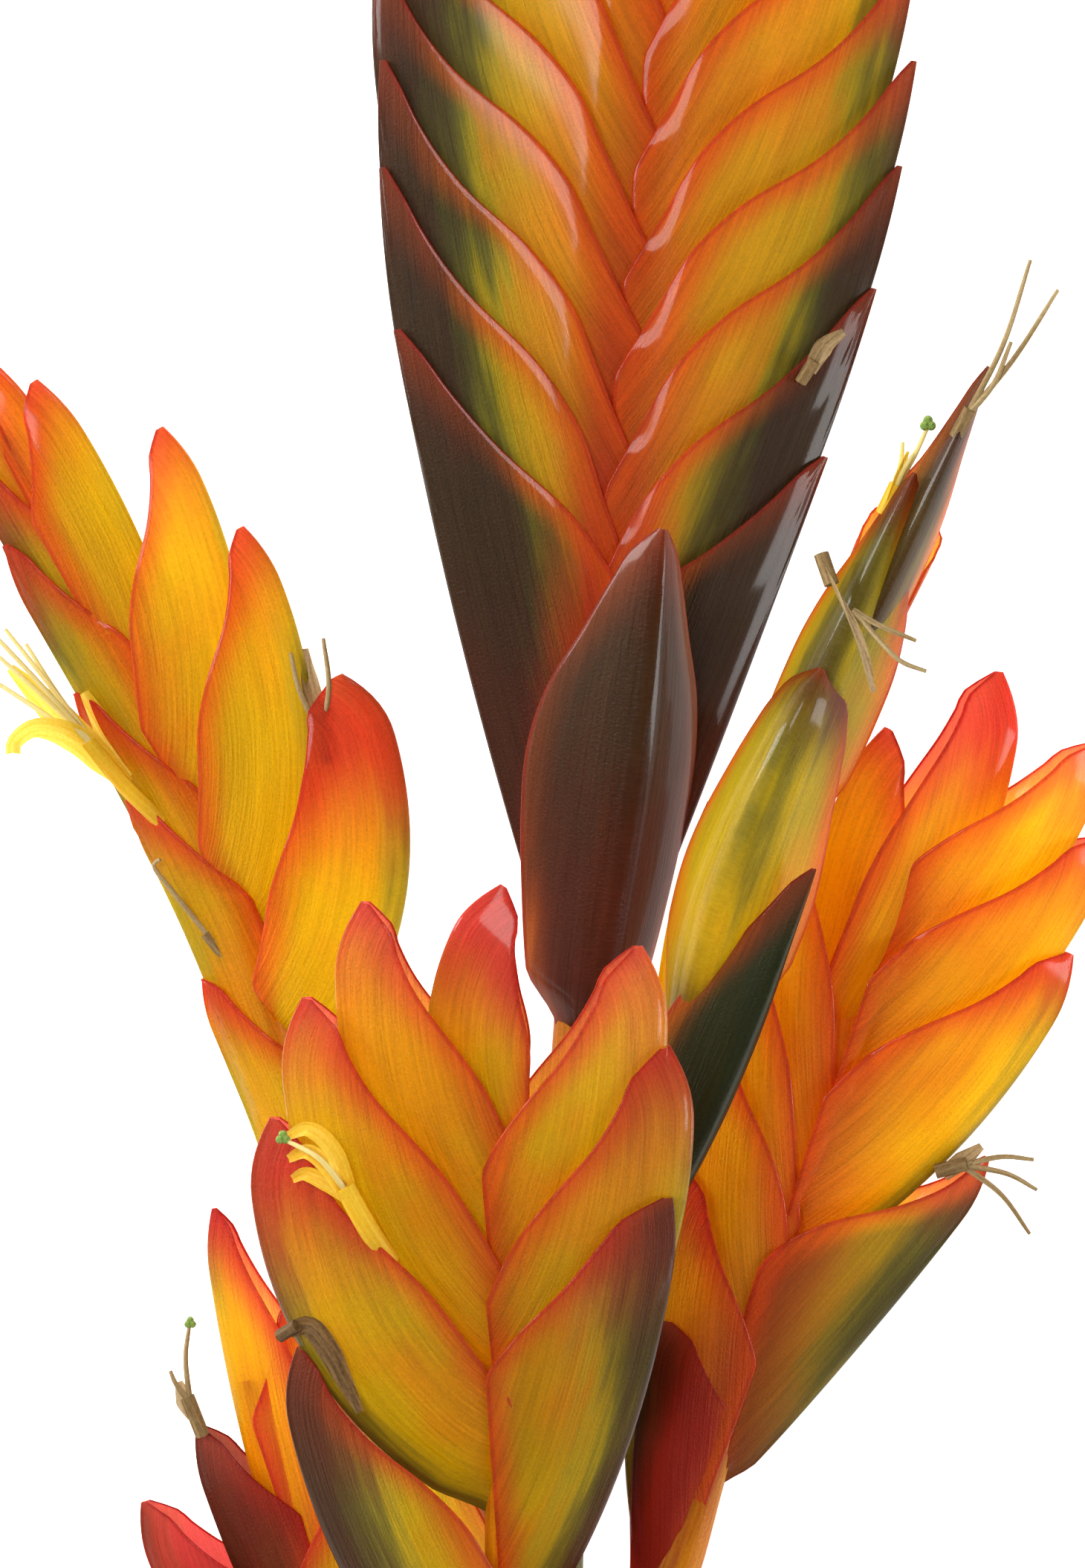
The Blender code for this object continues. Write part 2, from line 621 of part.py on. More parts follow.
def lay_flat(made, helpers, depth=20, size=600):
    """Flattens what would reach below the surface."""
    edit = bmesh.new()
    bmesh.ops.create_cube(edit, size=1)
    for vertex in edit.verts:
        vertex.co.x *= size * MM
        vertex.co.y *= size * MM
        vertex.co.z = (vertex.co.z - 0.5) * depth * MM
    mesh = bpy.data.meshes.new("below")
    edit.to_mesh(mesh)
    edit.free()
    helpers.objects.link(bpy.data.objects.new("below", mesh))
    return combine(made, helpers, "DIFFERENCE")


def add_spike(name, spike, parts, helpers, stem_path):
    """The rachis with its bracts as one body. A side spike's foot is hollowed to sit on the stem."""
    stations = np.linspace(0, spike["path"].length, RACHIS_STEPS)
    centre = name == "spike_centre"
    if centre:
        stations[0] = GAP
    points = spike["path"].at(stations)[0]
    radii = np.linspace(*RACHIS_RADIUS, len(points))
    base = tube(name, parts, points, radii)
    for row in spike["rows"]:
        solid_bract("bract", helpers, spike, row, SHEET)
    base = combine(base, helpers, "UNION")
    if not centre:
        along_stem = stem_path.points[::3]
        tube("clearance", helpers, along_stem, stem_radii(len(along_stem), GAP), STEM_SIDES)
        base = combine(base, helpers, "DIFFERENCE")
    base = lay_flat(base, helpers)
    keep_largest_piece(base)
    return base


def stem_radii(count, extra=0.0):
    return np.linspace(STEM_RADIUS[0], STEM_RADIUS[1], count) + extra


def add_stem(parts, helpers, path):
    stations = np.linspace(0, path.length, RACHIS_STEPS)
    points = path.at(stations)[0]
    stem = tube("stem", parts, points, stem_radii(len(points)), STEM_SIDES)
    for row in SCALES["rows"]:
        solid_bract("scale", helpers, SCALES, row, SHEET)
    stem = combine(stem, helpers, "UNION")
    stem = lay_flat(stem, helpers)
    keep_largest_piece(stem)
    return stem


def add_knob(helpers, point, radius):
    """A small ball, as a stigma is."""
    edit = bmesh.new()
    bmesh.ops.create_icosphere(edit, subdivisions=1, radius=radius * MM)
    mesh = bpy.data.meshes.new("knob")
    edit.to_mesh(mesh)
    edit.free()
    made = bpy.data.objects.new("knob", mesh)
    made.location = (np.array(point) - ORIGIN) * MM
    helpers.objects.link(made)


def add_flower(name, flower, parts, helpers):
    """Petals, threads and knobs on their root as one body, a gap clear of the bracts round it."""
    base = tube(name, parts, flower["root"], [flower["root_radius"]] * len(flower["root"]), 0)
    for line, widths in flower["petals"]:
        solid_sheet("petal", helpers, petal_points(line, widths, flower["facing"]), SHEET, 0)
    for line in flower["threads"]:
        tube("thread", helpers, line, [THREAD_RADIUS] * len(line), 0)
    for point, radius in flower["knobs"]:
        add_knob(helpers, point, radius)
    if helpers.objects:
        base = combine(base, helpers, "UNION")
    clear = SHEET + 2 * GAP
    for near in flower["near"]:
        for row in SPIKES[near]["rows"]:
            solid_bract("clearance", helpers, SPIKES[near], row, clear, SHEET / clear, CLEARANCE_WIDTH)
        base = combine(base, helpers, "DIFFERENCE")
    keep_largest_piece(base)
    return base


def main():
    for old in list(bpy.data.objects):
        bpy.data.objects.remove(old)
    parts = bpy.data.collections.new("flower_stem")
    helpers = bpy.data.collections.new("helpers")
    for collection in (parts, helpers):
        bpy.context.scene.collection.children.link(collection)
    stem_path = Path(STEM)
    SCALES["path"] = stem_path
    SCALES["rows"] = [with_defaults(row, SCALES) for row in SCALES["bracts"]]
    made = [(add_stem(parts, helpers, stem_path), STEM_COLOUR)]
    for name, spike in SPIKES.items():
        spike["path"] = Path(spike["axis"])
        spike["rows"] = [with_defaults(row, spike) for row in spike["bracts"]]
        cover_rows(spike["rows"])
        made.append((add_spike(name, spike, parts, helpers, stem_path), spike["colour"]))
    for name, flower in FLOWERS.items():
        made.append((add_flower(name, flower, parts, helpers), flower["colour"]))
    for piece, colour in made:
        piece.data.materials.clear()
        piece.data.materials.append(new_material(piece.name, colour, ROUGHNESS))
    bpy.data.collections.remove(helpers)


main()
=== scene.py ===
"""The looks of the cut flower stem: fine bracts, stalks and flowers in the place of the solids.

A bract is one curved sheet with a rolled margin, so that light from below shines through it. Lengths
are in millimetres of the layout and angles in degrees, as in the source of the solids.
"""

import math

import bpy
import mathutils
import numpy as np
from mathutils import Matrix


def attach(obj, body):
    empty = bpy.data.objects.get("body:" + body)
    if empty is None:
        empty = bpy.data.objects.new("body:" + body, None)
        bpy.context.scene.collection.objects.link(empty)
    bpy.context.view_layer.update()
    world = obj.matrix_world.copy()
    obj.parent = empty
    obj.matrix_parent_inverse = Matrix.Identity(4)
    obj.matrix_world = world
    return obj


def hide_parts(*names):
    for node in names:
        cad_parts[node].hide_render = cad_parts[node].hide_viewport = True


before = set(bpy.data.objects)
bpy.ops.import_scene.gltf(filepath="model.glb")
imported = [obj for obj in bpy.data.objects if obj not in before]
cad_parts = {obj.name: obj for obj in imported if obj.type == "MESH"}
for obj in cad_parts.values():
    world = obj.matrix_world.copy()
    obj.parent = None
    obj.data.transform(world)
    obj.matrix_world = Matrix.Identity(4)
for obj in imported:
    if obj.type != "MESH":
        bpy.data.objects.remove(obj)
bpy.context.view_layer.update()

MM = 0.001
ORIGIN = (-2.8, -19.5, 6.8)  # the point of the layout at the middle of the foot of the part's box
PHOTO_SIZE = (1460, 2109)
PHOTO_SCALE = 13.3  # pixels of the photograph to a millimetre, at the camera's distance
CAMERA_DISTANCE = 700  # to the plane in which the scale holds
CAMERA_HEIGHT = 730  # over the zero of the layout
SENSOR = 36
NEAREST_SEEN = 0.01  # metres from the camera

# Radii of the rods at their two ends, and how much thinner than its solid each fine one is.
RACHIS_RADIUS, RACHIS_THINNED = (3.0, 1.5), 0.97
STEM_RADIUS, STEM_THINNED = (4.1, 3.1), 0.99
ROOT_THINNED = 0.95
CUT_INSET = 0.05  # of the stem's cut face inside the solid's
RACHIS_FROM, CENTRE_FROM = 3.2, 0.3  # the station from which a rachis is seen, and the centre's own
THREAD_RADIUS = 0.33
THREAD_PLACES, THREAD_TAPER = (0, 0.8, 1), (1, 0.75, 0.6)
LOBES = (90, 210, 330)  # turns of the lobes of a stigma
LOBE_OFF, LOBE_SIZE = 0.4, 0.55  # as parts of the stigma's radius
PETAL_FOLD = 0.35  # depth of a petal's fold, as a part of its half width

BEAD_RADIUS = 0.16  # of a bract's rolled margin
BEAD_ANGLES = (50, 105, 165, 225)

# Rows and columns of points of the meshes, and sides of the rods.
BRACT_ROWS, BRACT_COLUMNS = 44, 33
BRACT_CROWDING = 1.5  # the power that crowds a bract's columns at its keel
PETAL_ROWS, PETAL_COLUMNS = 26, 11
BALL_ROWS, BALL_COLUMNS = 9, 13
RACHIS_RINGS, RACHIS_SIDES = 60, 20
STEM_RINGS, STEM_SIDES = 90, 36
ROOT_RINGS, ROOT_SIDES = 12, 14
THREAD_RINGS, THREAD_SIDES = 22, 8
ROUND_GRAIN = 3  # radii of grain from a rod's seam to its far side

LEFT, RIGHT = -1, 1

# Half width of a bract along its length, as a part of its widest: pointed and blunt kinds.
WIDTH_AT = (0.0, 0.12, 0.28, 0.42, 0.55, 0.67, 0.8, 0.9, 0.96, 1.0)
POINTED = (0.78, 0.9, 0.98, 1.0, 0.97, 0.8, 0.45, 0.23, 0.12, 0.03)
BLUNT = (0.74, 0.88, 0.97, 1.0, 0.95, 0.83, 0.65, 0.49, 0.33, 0.06)
FOOT_LENGTH = 0.12  # part of a bract over which it is drawn in to its base
FOOT_SIZE = 0.5  # its size at the base, as a part of the full one
BEND_FROM = 0.84  # where along a bract its keel starts to bend in to the tip
LEAST_OFF = 1.0  # distance off the rachis under which a bract gets no narrower
RIDGE_WIDTH = 3.5  # of the groove along the middle of a spike
LAP = 0.35  # height of a bract over the next one that it lies on
LAP_FADE = 2.0  # distance over which a flank rises to lie on the next one
OPEN_AT_TIP = 0.3  # distance inside the keel at which the flanks of a tip stand apart
COVERED = 4  # bracts above it that a bract can lie over
TURNED = 20  # a bract rolled further than this round the rachis lies over none
CLASP = 0.12  # how far a margin reaches over the middle of its spike, as a part of its own keel's distance
HEIGHT_AT = 20  # distance inside the keel at which a fold has its spike's full depth
KEEL_STEPS = 60  # points of the line that a keel is read from
PATH_STEPS = 16  # of a smooth line between two of its points
LEAN_LIMITS, LEAN_HALVINGS = (1.0, 75.0), 40  # of the search for a bract's lean at its base
APART_FROM_MIDDLE = 50  # added to the distance of a plain curved bract, which isn't red with the middle
BRACT_GRAIN = 7.3  # step of the grain from one bract to the next, so that no two are alike
FIRST_SCALE = 40  # the scale leaves' first index for the grain
SCALE_AGE, SCALE_GREEN = 0.75, 0.5

FLOOR_SIZE, FLOOR_GAP = 6, 0.0002  # metres, and how far it lies under the part
FLOOR_SHADE, FLOOR_ROUGHNESS, FLOOR_GLOW = (0.9, 0.9, 0.9), 0.7, 1.0
WORLD_GLOW = 0.35
WHITE, BLACK = (1.0, 1.0, 1.0), (0.0, 0.0, 0.0)
# Name, place, target, size and power of each soft light, in metres and watts.
LIGHTS = (
    ("overhead", (-0.25, 0.2, 0.8), (0, 0, 0), (0.3, 0.3), 6),
    ("left_box", (-0.9, 0.3, 0.22), (0, 0, 0.02), (0.2, 0.5), 9),
    ("right_box", (0.9, -0.2, 0.2), (0, 0, 0.02), (0.2, 0.4), 5),
)


def colour(red, green, blue):
    """A linear colour from its usual 0 to 255 values, by the sRGB curve."""
    parts = [value / 255 for value in (red, green, blue)]
    return tuple(p / 12.92 if p <= 0.04045 else ((p + 0.055) / 1.055) ** 2.4 for p in parts)


class Path:
    """A smooth line through points, read by the distance along it. It runs on straight past its ends."""

    def __init__(self, points):
        points = np.array(points, float)
        before, after = 2 * points[0] - points[1], 2 * points[-1] - points[-2]
        padded = np.vstack([before, points, after])
        t = np.linspace(0, 1, PATH_STEPS, endpoint=False)[:, None]
        spans = []
        for a, b, c, d in zip(padded, padded[1:], padded[2:], padded[3:]):
            bend = (2 * a - 5 * b + 4 * c - d) * t**2 + (3 * b - a - 3 * c + d) * t**3
            spans.append(b + ((c - a) * t + bend) / 2)
        self.points = np.vstack(spans + [points[-1:]])
        steps = np.linalg.norm(np.diff(self.points, axis=0), axis=1)
        self.along = np.concatenate([[0], np.cumsum(steps)])
        self.length = self.along[-1]
        tangents = np.gradient(self.points, axis=0)
        self.tangents = tangents / np.linalg.norm(tangents, axis=1)[:, None]

    def at(self, station):
        """The points and unit tangents at these distances along the line."""
        read = [np.interp(station, self.along, self.points[:, k]) for k in range(3)]
        turn = [np.interp(station, self.along, self.tangents[:, k]) for k in range(3)]
        tangent = np.stack(turn, -1)
        tangent /= np.linalg.norm(tangent, axis=-1, keepdims=True)
        past = np.maximum(station - self.length, 0) + np.minimum(station, 0)
        return np.stack(read, -1) + tangent * np.asarray(past)[..., None], tangent


def smoothstep(x):
    x = np.clip(x, 0, 1)
    return x * x * (3 - 2 * x)


def smooth_read(x, places, values):
    """A smooth line through a table's values."""
    slopes = np.gradient(np.array(values), np.array(places))
    index = np.clip(np.searchsorted(places, x, side="right") - 1, 0, len(places) - 2)
    low, high = np.take(places, index), np.take(places, index + 1)
    t = (x - low) / (high - low)
    a, b = np.take(values, index), np.take(values, index + 1)
    rise, fall = slopes[index] * (high - low), slopes[index + 1] * (high - low)
    even = (2 * t**3 - 3 * t**2 + 1) * a + (3 * t**2 - 2 * t**3) * b
    return even + (t**3 - 2 * t**2 + t) * rise + (t**3 - t**2) * fall


def base_angle(length, rise, tip_angle):
    """The angle at which a bract of this length leaves the rachis so that its tip stands off by rise."""
    low, high = LEAN_LIMITS
    for _ in range(LEAN_HALVINGS):
        middle = (low + high) / 2
        start, end = math.radians(middle), math.radians(tip_angle)
        turn = end - start if abs(end - start) > 1e-6 else 1e-6
        if length * (math.cos(start) - math.cos(end)) / turn < rise:
            low = middle
        else:
            high = middle
    return low


def bract(side, station, reach, tip_angle, half_width, **changes):
    """One bract: its rank, where its tip is along the rachis and off it, its tip's lean and its width."""
    row = dict(side=side, station=station, reach=reach, tip_angle=tip_angle, half_width=half_width)
    row.update(changes)
    return row


def with_defaults(row, spike):
    """A bract's row with its spike's values and the usual ones.

    roll turns the bract round the rachis and start is its base's distance off it. power and groove
    shape its fold, taper narrows it to its base and clasp carries its margins past the middle of the
    spike. round makes it a plain curve, this high to its width, and bend draws its tip in.
    """
    whole = dict(length=spike["length"], depth=spike["depth"], blunt=spike["blunt"], roll=0, start=2.4)
    whole.update(power=0.7, taper=0, clasp=CLASP, groove=0.3, round=0)
    whole["bend"] = spike["bend"]
    whole.update(row)
    rise = whole["reach"] + whole["bend"] - whole["start"]
    whole["base_angle"] = base_angle(whole["length"], rise, whole["tip_angle"])
    return whole


def keel(row, u):
    """Distance off the rachis, station along it and lean of a bract's keel, from base (0) to tip (1)."""
    start, end = math.radians(row["base_angle"]), math.radians(row["tip_angle"])
    turn = end - start if abs(end - start) > 1e-3 else 1e-3
    angle = start + turn * u
    size = row["length"] / turn
    base = row["station"] - size * (math.sin(start + turn) - math.sin(start))
    off = row["start"] + size * (math.cos(start) - np.cos(angle))
    off = off - row["bend"] * (np.maximum(u - BEND_FROM, 0) / (1 - BEND_FROM)) ** 2
    return off, base + size * (np.sin(angle) - math.sin(start)), angle


def bract_width(row, u, off, angle):
    pointed, blunt = smooth_read(u, WIDTH_AT, POINTED), smooth_read(u, WIDTH_AT, BLUNT)
    shape = (pointed + (blunt - pointed) * row["blunt"]) * (1 - row["taper"] * (1 - u))
    reach = (1 + row["clasp"]) * np.maximum(off, LEAST_OFF) / np.cos(angle)
    return np.minimum(row["half_width"] * shape, reach)


def fold_height(row, x, s):
    """How high a bract's flank stands over its fold, at a distance x off the rachis and a station s."""
    off_line, station_line, _ = keel(row, np.linspace(0, 1, KEEL_STEPS))
    inside = np.maximum(np.interp(s, station_line, off_line, right=0) - np.abs(x), OPEN_AT_TIP)
    valley = 1 - row["groove"] * np.exp(-((x / RIDGE_WIDTH) ** 2))
    return row["depth"] * (inside / HEIGHT_AT) ** row["power"] * valley


def lapped_height(row, x, s):
    """The flank's height where it also lies over the flanks of the bracts above it."""
    height = fold_height(row, x, s)
    for step, upper in enumerate(row.get("over", ()), 1):
        off_line, station_line, _ = keel(upper, np.linspace(0, 1, KEEL_STEPS))
        limit = np.interp(s, station_line, off_line)
        own_side = x * row["side"] * upper["side"]
        reached = smoothstep((own_side + upper["clasp"] * limit) / LAP_FADE) * (np.abs(x) < limit)
        height = np.maximum(height, (fold_height(upper, x, s) + step * LAP) * reached)
    return height


def bract_points(spike, row, u, v):
    """Points on a folded bract and the way its flat side faces. v is 0 at the keel, 1 or -1 at a margin."""
    u, v = np.broadcast_arrays(np.asarray(u, float), np.asarray(v, float))
    off, station, angle = keel(row, u)
    width = bract_width(row, u, off, angle)
    inward = np.abs(v) * width
    x = off - inward * np.cos(angle)
    s = station + inward * np.sin(angle)
    if row["round"]:
        height = row["round"] * width * np.abs(v) ** row["power"]
    else:
        height = lapped_height(row, x, s)
    foot = FOOT_SIZE + (1 - FOOT_SIZE) * smoothstep(u / FOOT_LENGTH)
    place, tangent = spike["path"].at(s)
    face = np.array(spike["face"], float)
    normal = face - tangent * (tangent @ face)[..., None]
    normal /= np.linalg.norm(normal, axis=-1, keepdims=True)
    sideways = np.cross(tangent, normal) * row["side"]
    turn = math.radians(row["roll"])
    outward = math.cos(turn) * sideways + math.sin(turn) * normal
    upward = math.cos(turn) * normal - math.sin(turn) * sideways
    points = place + (x * foot)[..., None] * outward + (np.sign(v) * height * foot)[..., None] * upward
    return points, upward * np.where(v < 0, -1, 1)[..., None]


def cover_rows(rows):
    """Gives each bract the ones above it that its flanks lie over. Turned bracts stand apart."""
    for index, row in enumerate(rows):
        near = rows[index + 1:index + 1 + COVERED]
        row["over"] = [upper for upper in near if max(abs(upper["roll"]), abs(row["roll"])) < TURNED]


# The layout, as in the source of the solids.
STEM = (
    (-1, -172, 10.7), (-0.5, -140, 11.2), (0, -110, 11.7),
    (1, -75, 12.2), (2.2, -48, 12.4), (3.7, -29.7, 12.5),
)

# Scale leaves that clasp the stem below its lowest branch.
SCALES = dict(
    face=(0, 0, 1), depth=9, length=30, blunt=0.5, bend=0,
    bracts=[
        bract(RIGHT, 31, 5.4, 3, 8, start=4, power=0.5, groove=0, clasp=0.5, length=26),
        bract(LEFT, 22, 5.6, 3, 8, start=4, power=0.5, groove=0, clasp=0.5, length=19),
    ],
)

SPIKES = {
    "spike_centre": dict(
        axis=((3.7, -29.7, 12.5), (7.1, 22.6, 14.5), (12.3, 81, 13.3), (14.5, 104, 12.4)),
        face=(0.05, 0, 1), depth=7.2, length=64, blunt=0, bend=0,
        bracts=[
            bract(LEFT, 45, 8, 4, 15, roll=-86, length=42, start=3, round=0.95, power=0.5),
            bract(
                RIGHT, 56, 17, 6, 11, roll=76, length=55, start=5, round=1.05, power=0.6, clasp=0.5,
                blunt=0.4, taper=0.4,
            ),
            bract(RIGHT, 65.5, 21.5, 15, 17.5, length=65),
            bract(LEFT, 74.5, 24.5, 16, 17.5, length=70),
            bract(RIGHT, 83.5, 25, 11, 16, length=68),
            bract(LEFT, 91, 27.5, 7, 16.5, length=69),
            bract(RIGHT, 96.5, 26.5, 6, 16.5, length=66),
            bract(LEFT, 102, 28.5, 2, 17, length=67),
            bract(RIGHT, 107.5, 27, 3, 17),
            bract(LEFT, 113, 30, 0, 17),
            bract(RIGHT, 118, 26, 2, 16.5),
            bract(LEFT, 122.5, 29, 0, 16.5),
            bract(RIGHT, 128, 24.5, 2, 16, length=62),
            bract(LEFT, 131.5, 26.5, 0, 15.5, length=60),
            bract(RIGHT, 137, 22, 2, 15, length=58),
            bract(LEFT, 140.5, 23, 0, 14, length=55),
            bract(RIGHT, 145.5, 19, 2, 13.5, length=53),
            bract(LEFT, 148, 18, 0, 13, length=49),
            bract(RIGHT, 153, 15, 2, 12.5, length=46),
            bract(LEFT, 156, 12.5, 0, 11.5, length=42),
            bract(RIGHT, 159, 10, 2, 11, length=40),
            bract(LEFT, 163, 3.5, -2, 10, length=36),
        ],
    ),
    "spike_left": dict(
        axis=(
            (1, -80, 12.1), (-9, -68, 12.5), (-19, -52, 11.5),
            (-25.5, -30, 10.2), (-36, -1.8, 11.5), (-55.8, 36, 13.5),
        ),
        face=(-0.2, -0.1, 0.95), depth=6.5, length=44, blunt=0.5, bend=1.2,
        bracts=[
            bract(LEFT, 70, 6.5, 4, 10, length=36, start=5, clasp=0.3),
            bract(RIGHT, 93, 20, 0, 13, blunt=1.3, bend=3),
            bract(LEFT, 91, 6.5, 4, 10.5, start=5.5, clasp=0.3),
            bract(RIGHT, 110.5, 18, 0, 11.5),
            bract(LEFT, 103.5, 6.5, 2, 10, start=5.5, clasp=0.3),
            bract(RIGHT, 123.5, 15.5, -2, 11.5),
            bract(LEFT, 120.5, 5.5, 0, 10, start=4.5, clasp=0.3),
            bract(RIGHT, 134, 6, -8, 12, blunt=0.6),
            bract(LEFT, 130.5, 4.5, 0, 9.5, start=4, clasp=0.3),
            bract(RIGHT, 138.5, 2.4, -8, 11, blunt=0.5),
            bract(LEFT, 141.5, 3.6, 0, 9),
        ],
    ),
    "spike_front": dict(
        axis=(
            (0, -128, 11.2), (-2.5, -117, 19), (-3.5, -103.4, 30),
            (-3.7, -66, 42), (-4.5, -25, 50),
        ),
        face=(0, -0.2, 1), depth=7, length=50, blunt=0.75, bend=2,
        bracts=[
            bract(RIGHT, 44, 8, 6, 12, length=32),
            bract(LEFT, 50, 10, 6, 12, length=36),
            bract(RIGHT, 56, 12, 6, 13, length=40),
            bract(LEFT, 81.5, 20.5, 4, 14.5, blunt=0.3),
            bract(RIGHT, 96.5, 17, 6, 17, bend=1),
            bract(LEFT, 105, 22.5, -6, 15),
            bract(RIGHT, 111.5, 17, -6, 16),
            bract(LEFT, 117, 19, -6, 14.5),
            bract(RIGHT, 121.5, 14.5, -6, 16),
            bract(LEFT, 126.5, 13, -10, 13.5, length=46),
            bract(LEFT, 128, -0.7, -38, 10, length=30, blunt=1.2, start=4, round=0.4, clasp=4),
        ],
    ),
    "spike_right": dict(
        axis=(
            (0.5, -100, 11.7), (8, -92, 10.5), (13.2, -83.3, 9.8),
            (17.4, -69.4, 9.8), (24.8, -46, 12), (39.3, -7.3, 16),
        ),
        face=(0.1, -0.1, 1), depth=7, length=47, blunt=0.65, bend=1.6,
        bracts=[
            bract(LEFT, 48, 9, 8, 13, length=34),
            bract(LEFT, 63.5, 13, 4, 14),
            bract(RIGHT, 74.5, 18, 14, 14.5, blunt=0),
            bract(LEFT, 81, 17, 2, 14),
            bract(RIGHT, 97.5, 18.5, 4, 15),
            bract(LEFT, 99.5, 23, 0, 14, length=60, bend=0.5),
            bract(RIGHT, 110, 17.5, 2, 15),
            bract(LEFT, 109.5, 21, -2, 14, length=60, bend=0.5),
            bract(RIGHT, 119, 13.5, 0, 14.5),
            bract(LEFT, 113, 8.5, -6, 13),
            bract(RIGHT, 122.5, 1, -16, 12, blunt=1.1, bend=2.5, length=44, start=3.5, round=0.4, clasp=4),
        ],
    ),
    "spike_edge": dict(
        axis=(
            (1.4, -64, 12.3), (3, -57, 18), (6, -50, 24),
            (10, -42, 28), (20, -10.8, 36), (34.4, 21.8, 42),
        ),
        face=(0.88, -0.4, 0.1), depth=8.5, length=46, blunt=0.3, bend=0,
        bracts=[
            bract(LEFT, 69, 10, -4, 7.5, roll=41, start=3, round=0.75, power=0.6, clasp=0.4),
            bract(RIGHT, 71, 9, 4, 12, length=34),
            bract(LEFT, 87.5, 9, -6, 10.5, roll=-7, blunt=1.3, bend=1.5, round=0.68, power=0.55, clasp=0.4),
            bract(RIGHT, 91, 9, 4, 12, length=34),
            bract(LEFT, 109, 9, -5, 9, roll=-5, blunt=0.4, round=0.6, power=0.55, clasp=0.4),
            bract(RIGHT, 111, 9, 2, 10, length=34),
            bract(LEFT, 121.5, 9, -6, 6.5, roll=10, round=0.5, power=0.6, clasp=0.4),
        ],
    ),
    "spike_low_left": dict(
        axis=(
            (-0.5, -140, 11.4), (-8, -131, 11), (-16.2, -120, 12),
            (-19, -105, 13.2), (-23, -84, 16.2), (-29.7, -61, 18),
        ),
        face=(-0.2, -0.1, 1), depth=6.5, length=40, blunt=0.5, bend=1.2,
        bracts=[
            bract(LEFT, 67, 19, 4, 13),
            bract(RIGHT, 67, 12, 10, 13),
            bract(LEFT, 77, 15.5, -4, 13, blunt=0.6),
            bract(RIGHT, 79.5, 12.5, 6, 12.5),
            bract(LEFT, 83, 7.5, -2, 12.5, blunt=0.5),
            bract(RIGHT, 94, 7, 0, 11),
            bract(LEFT, 104.5, -2, -10, 8.5, blunt=0.6, start=3.5, round=0.4, clasp=4),
        ],
    ),
}


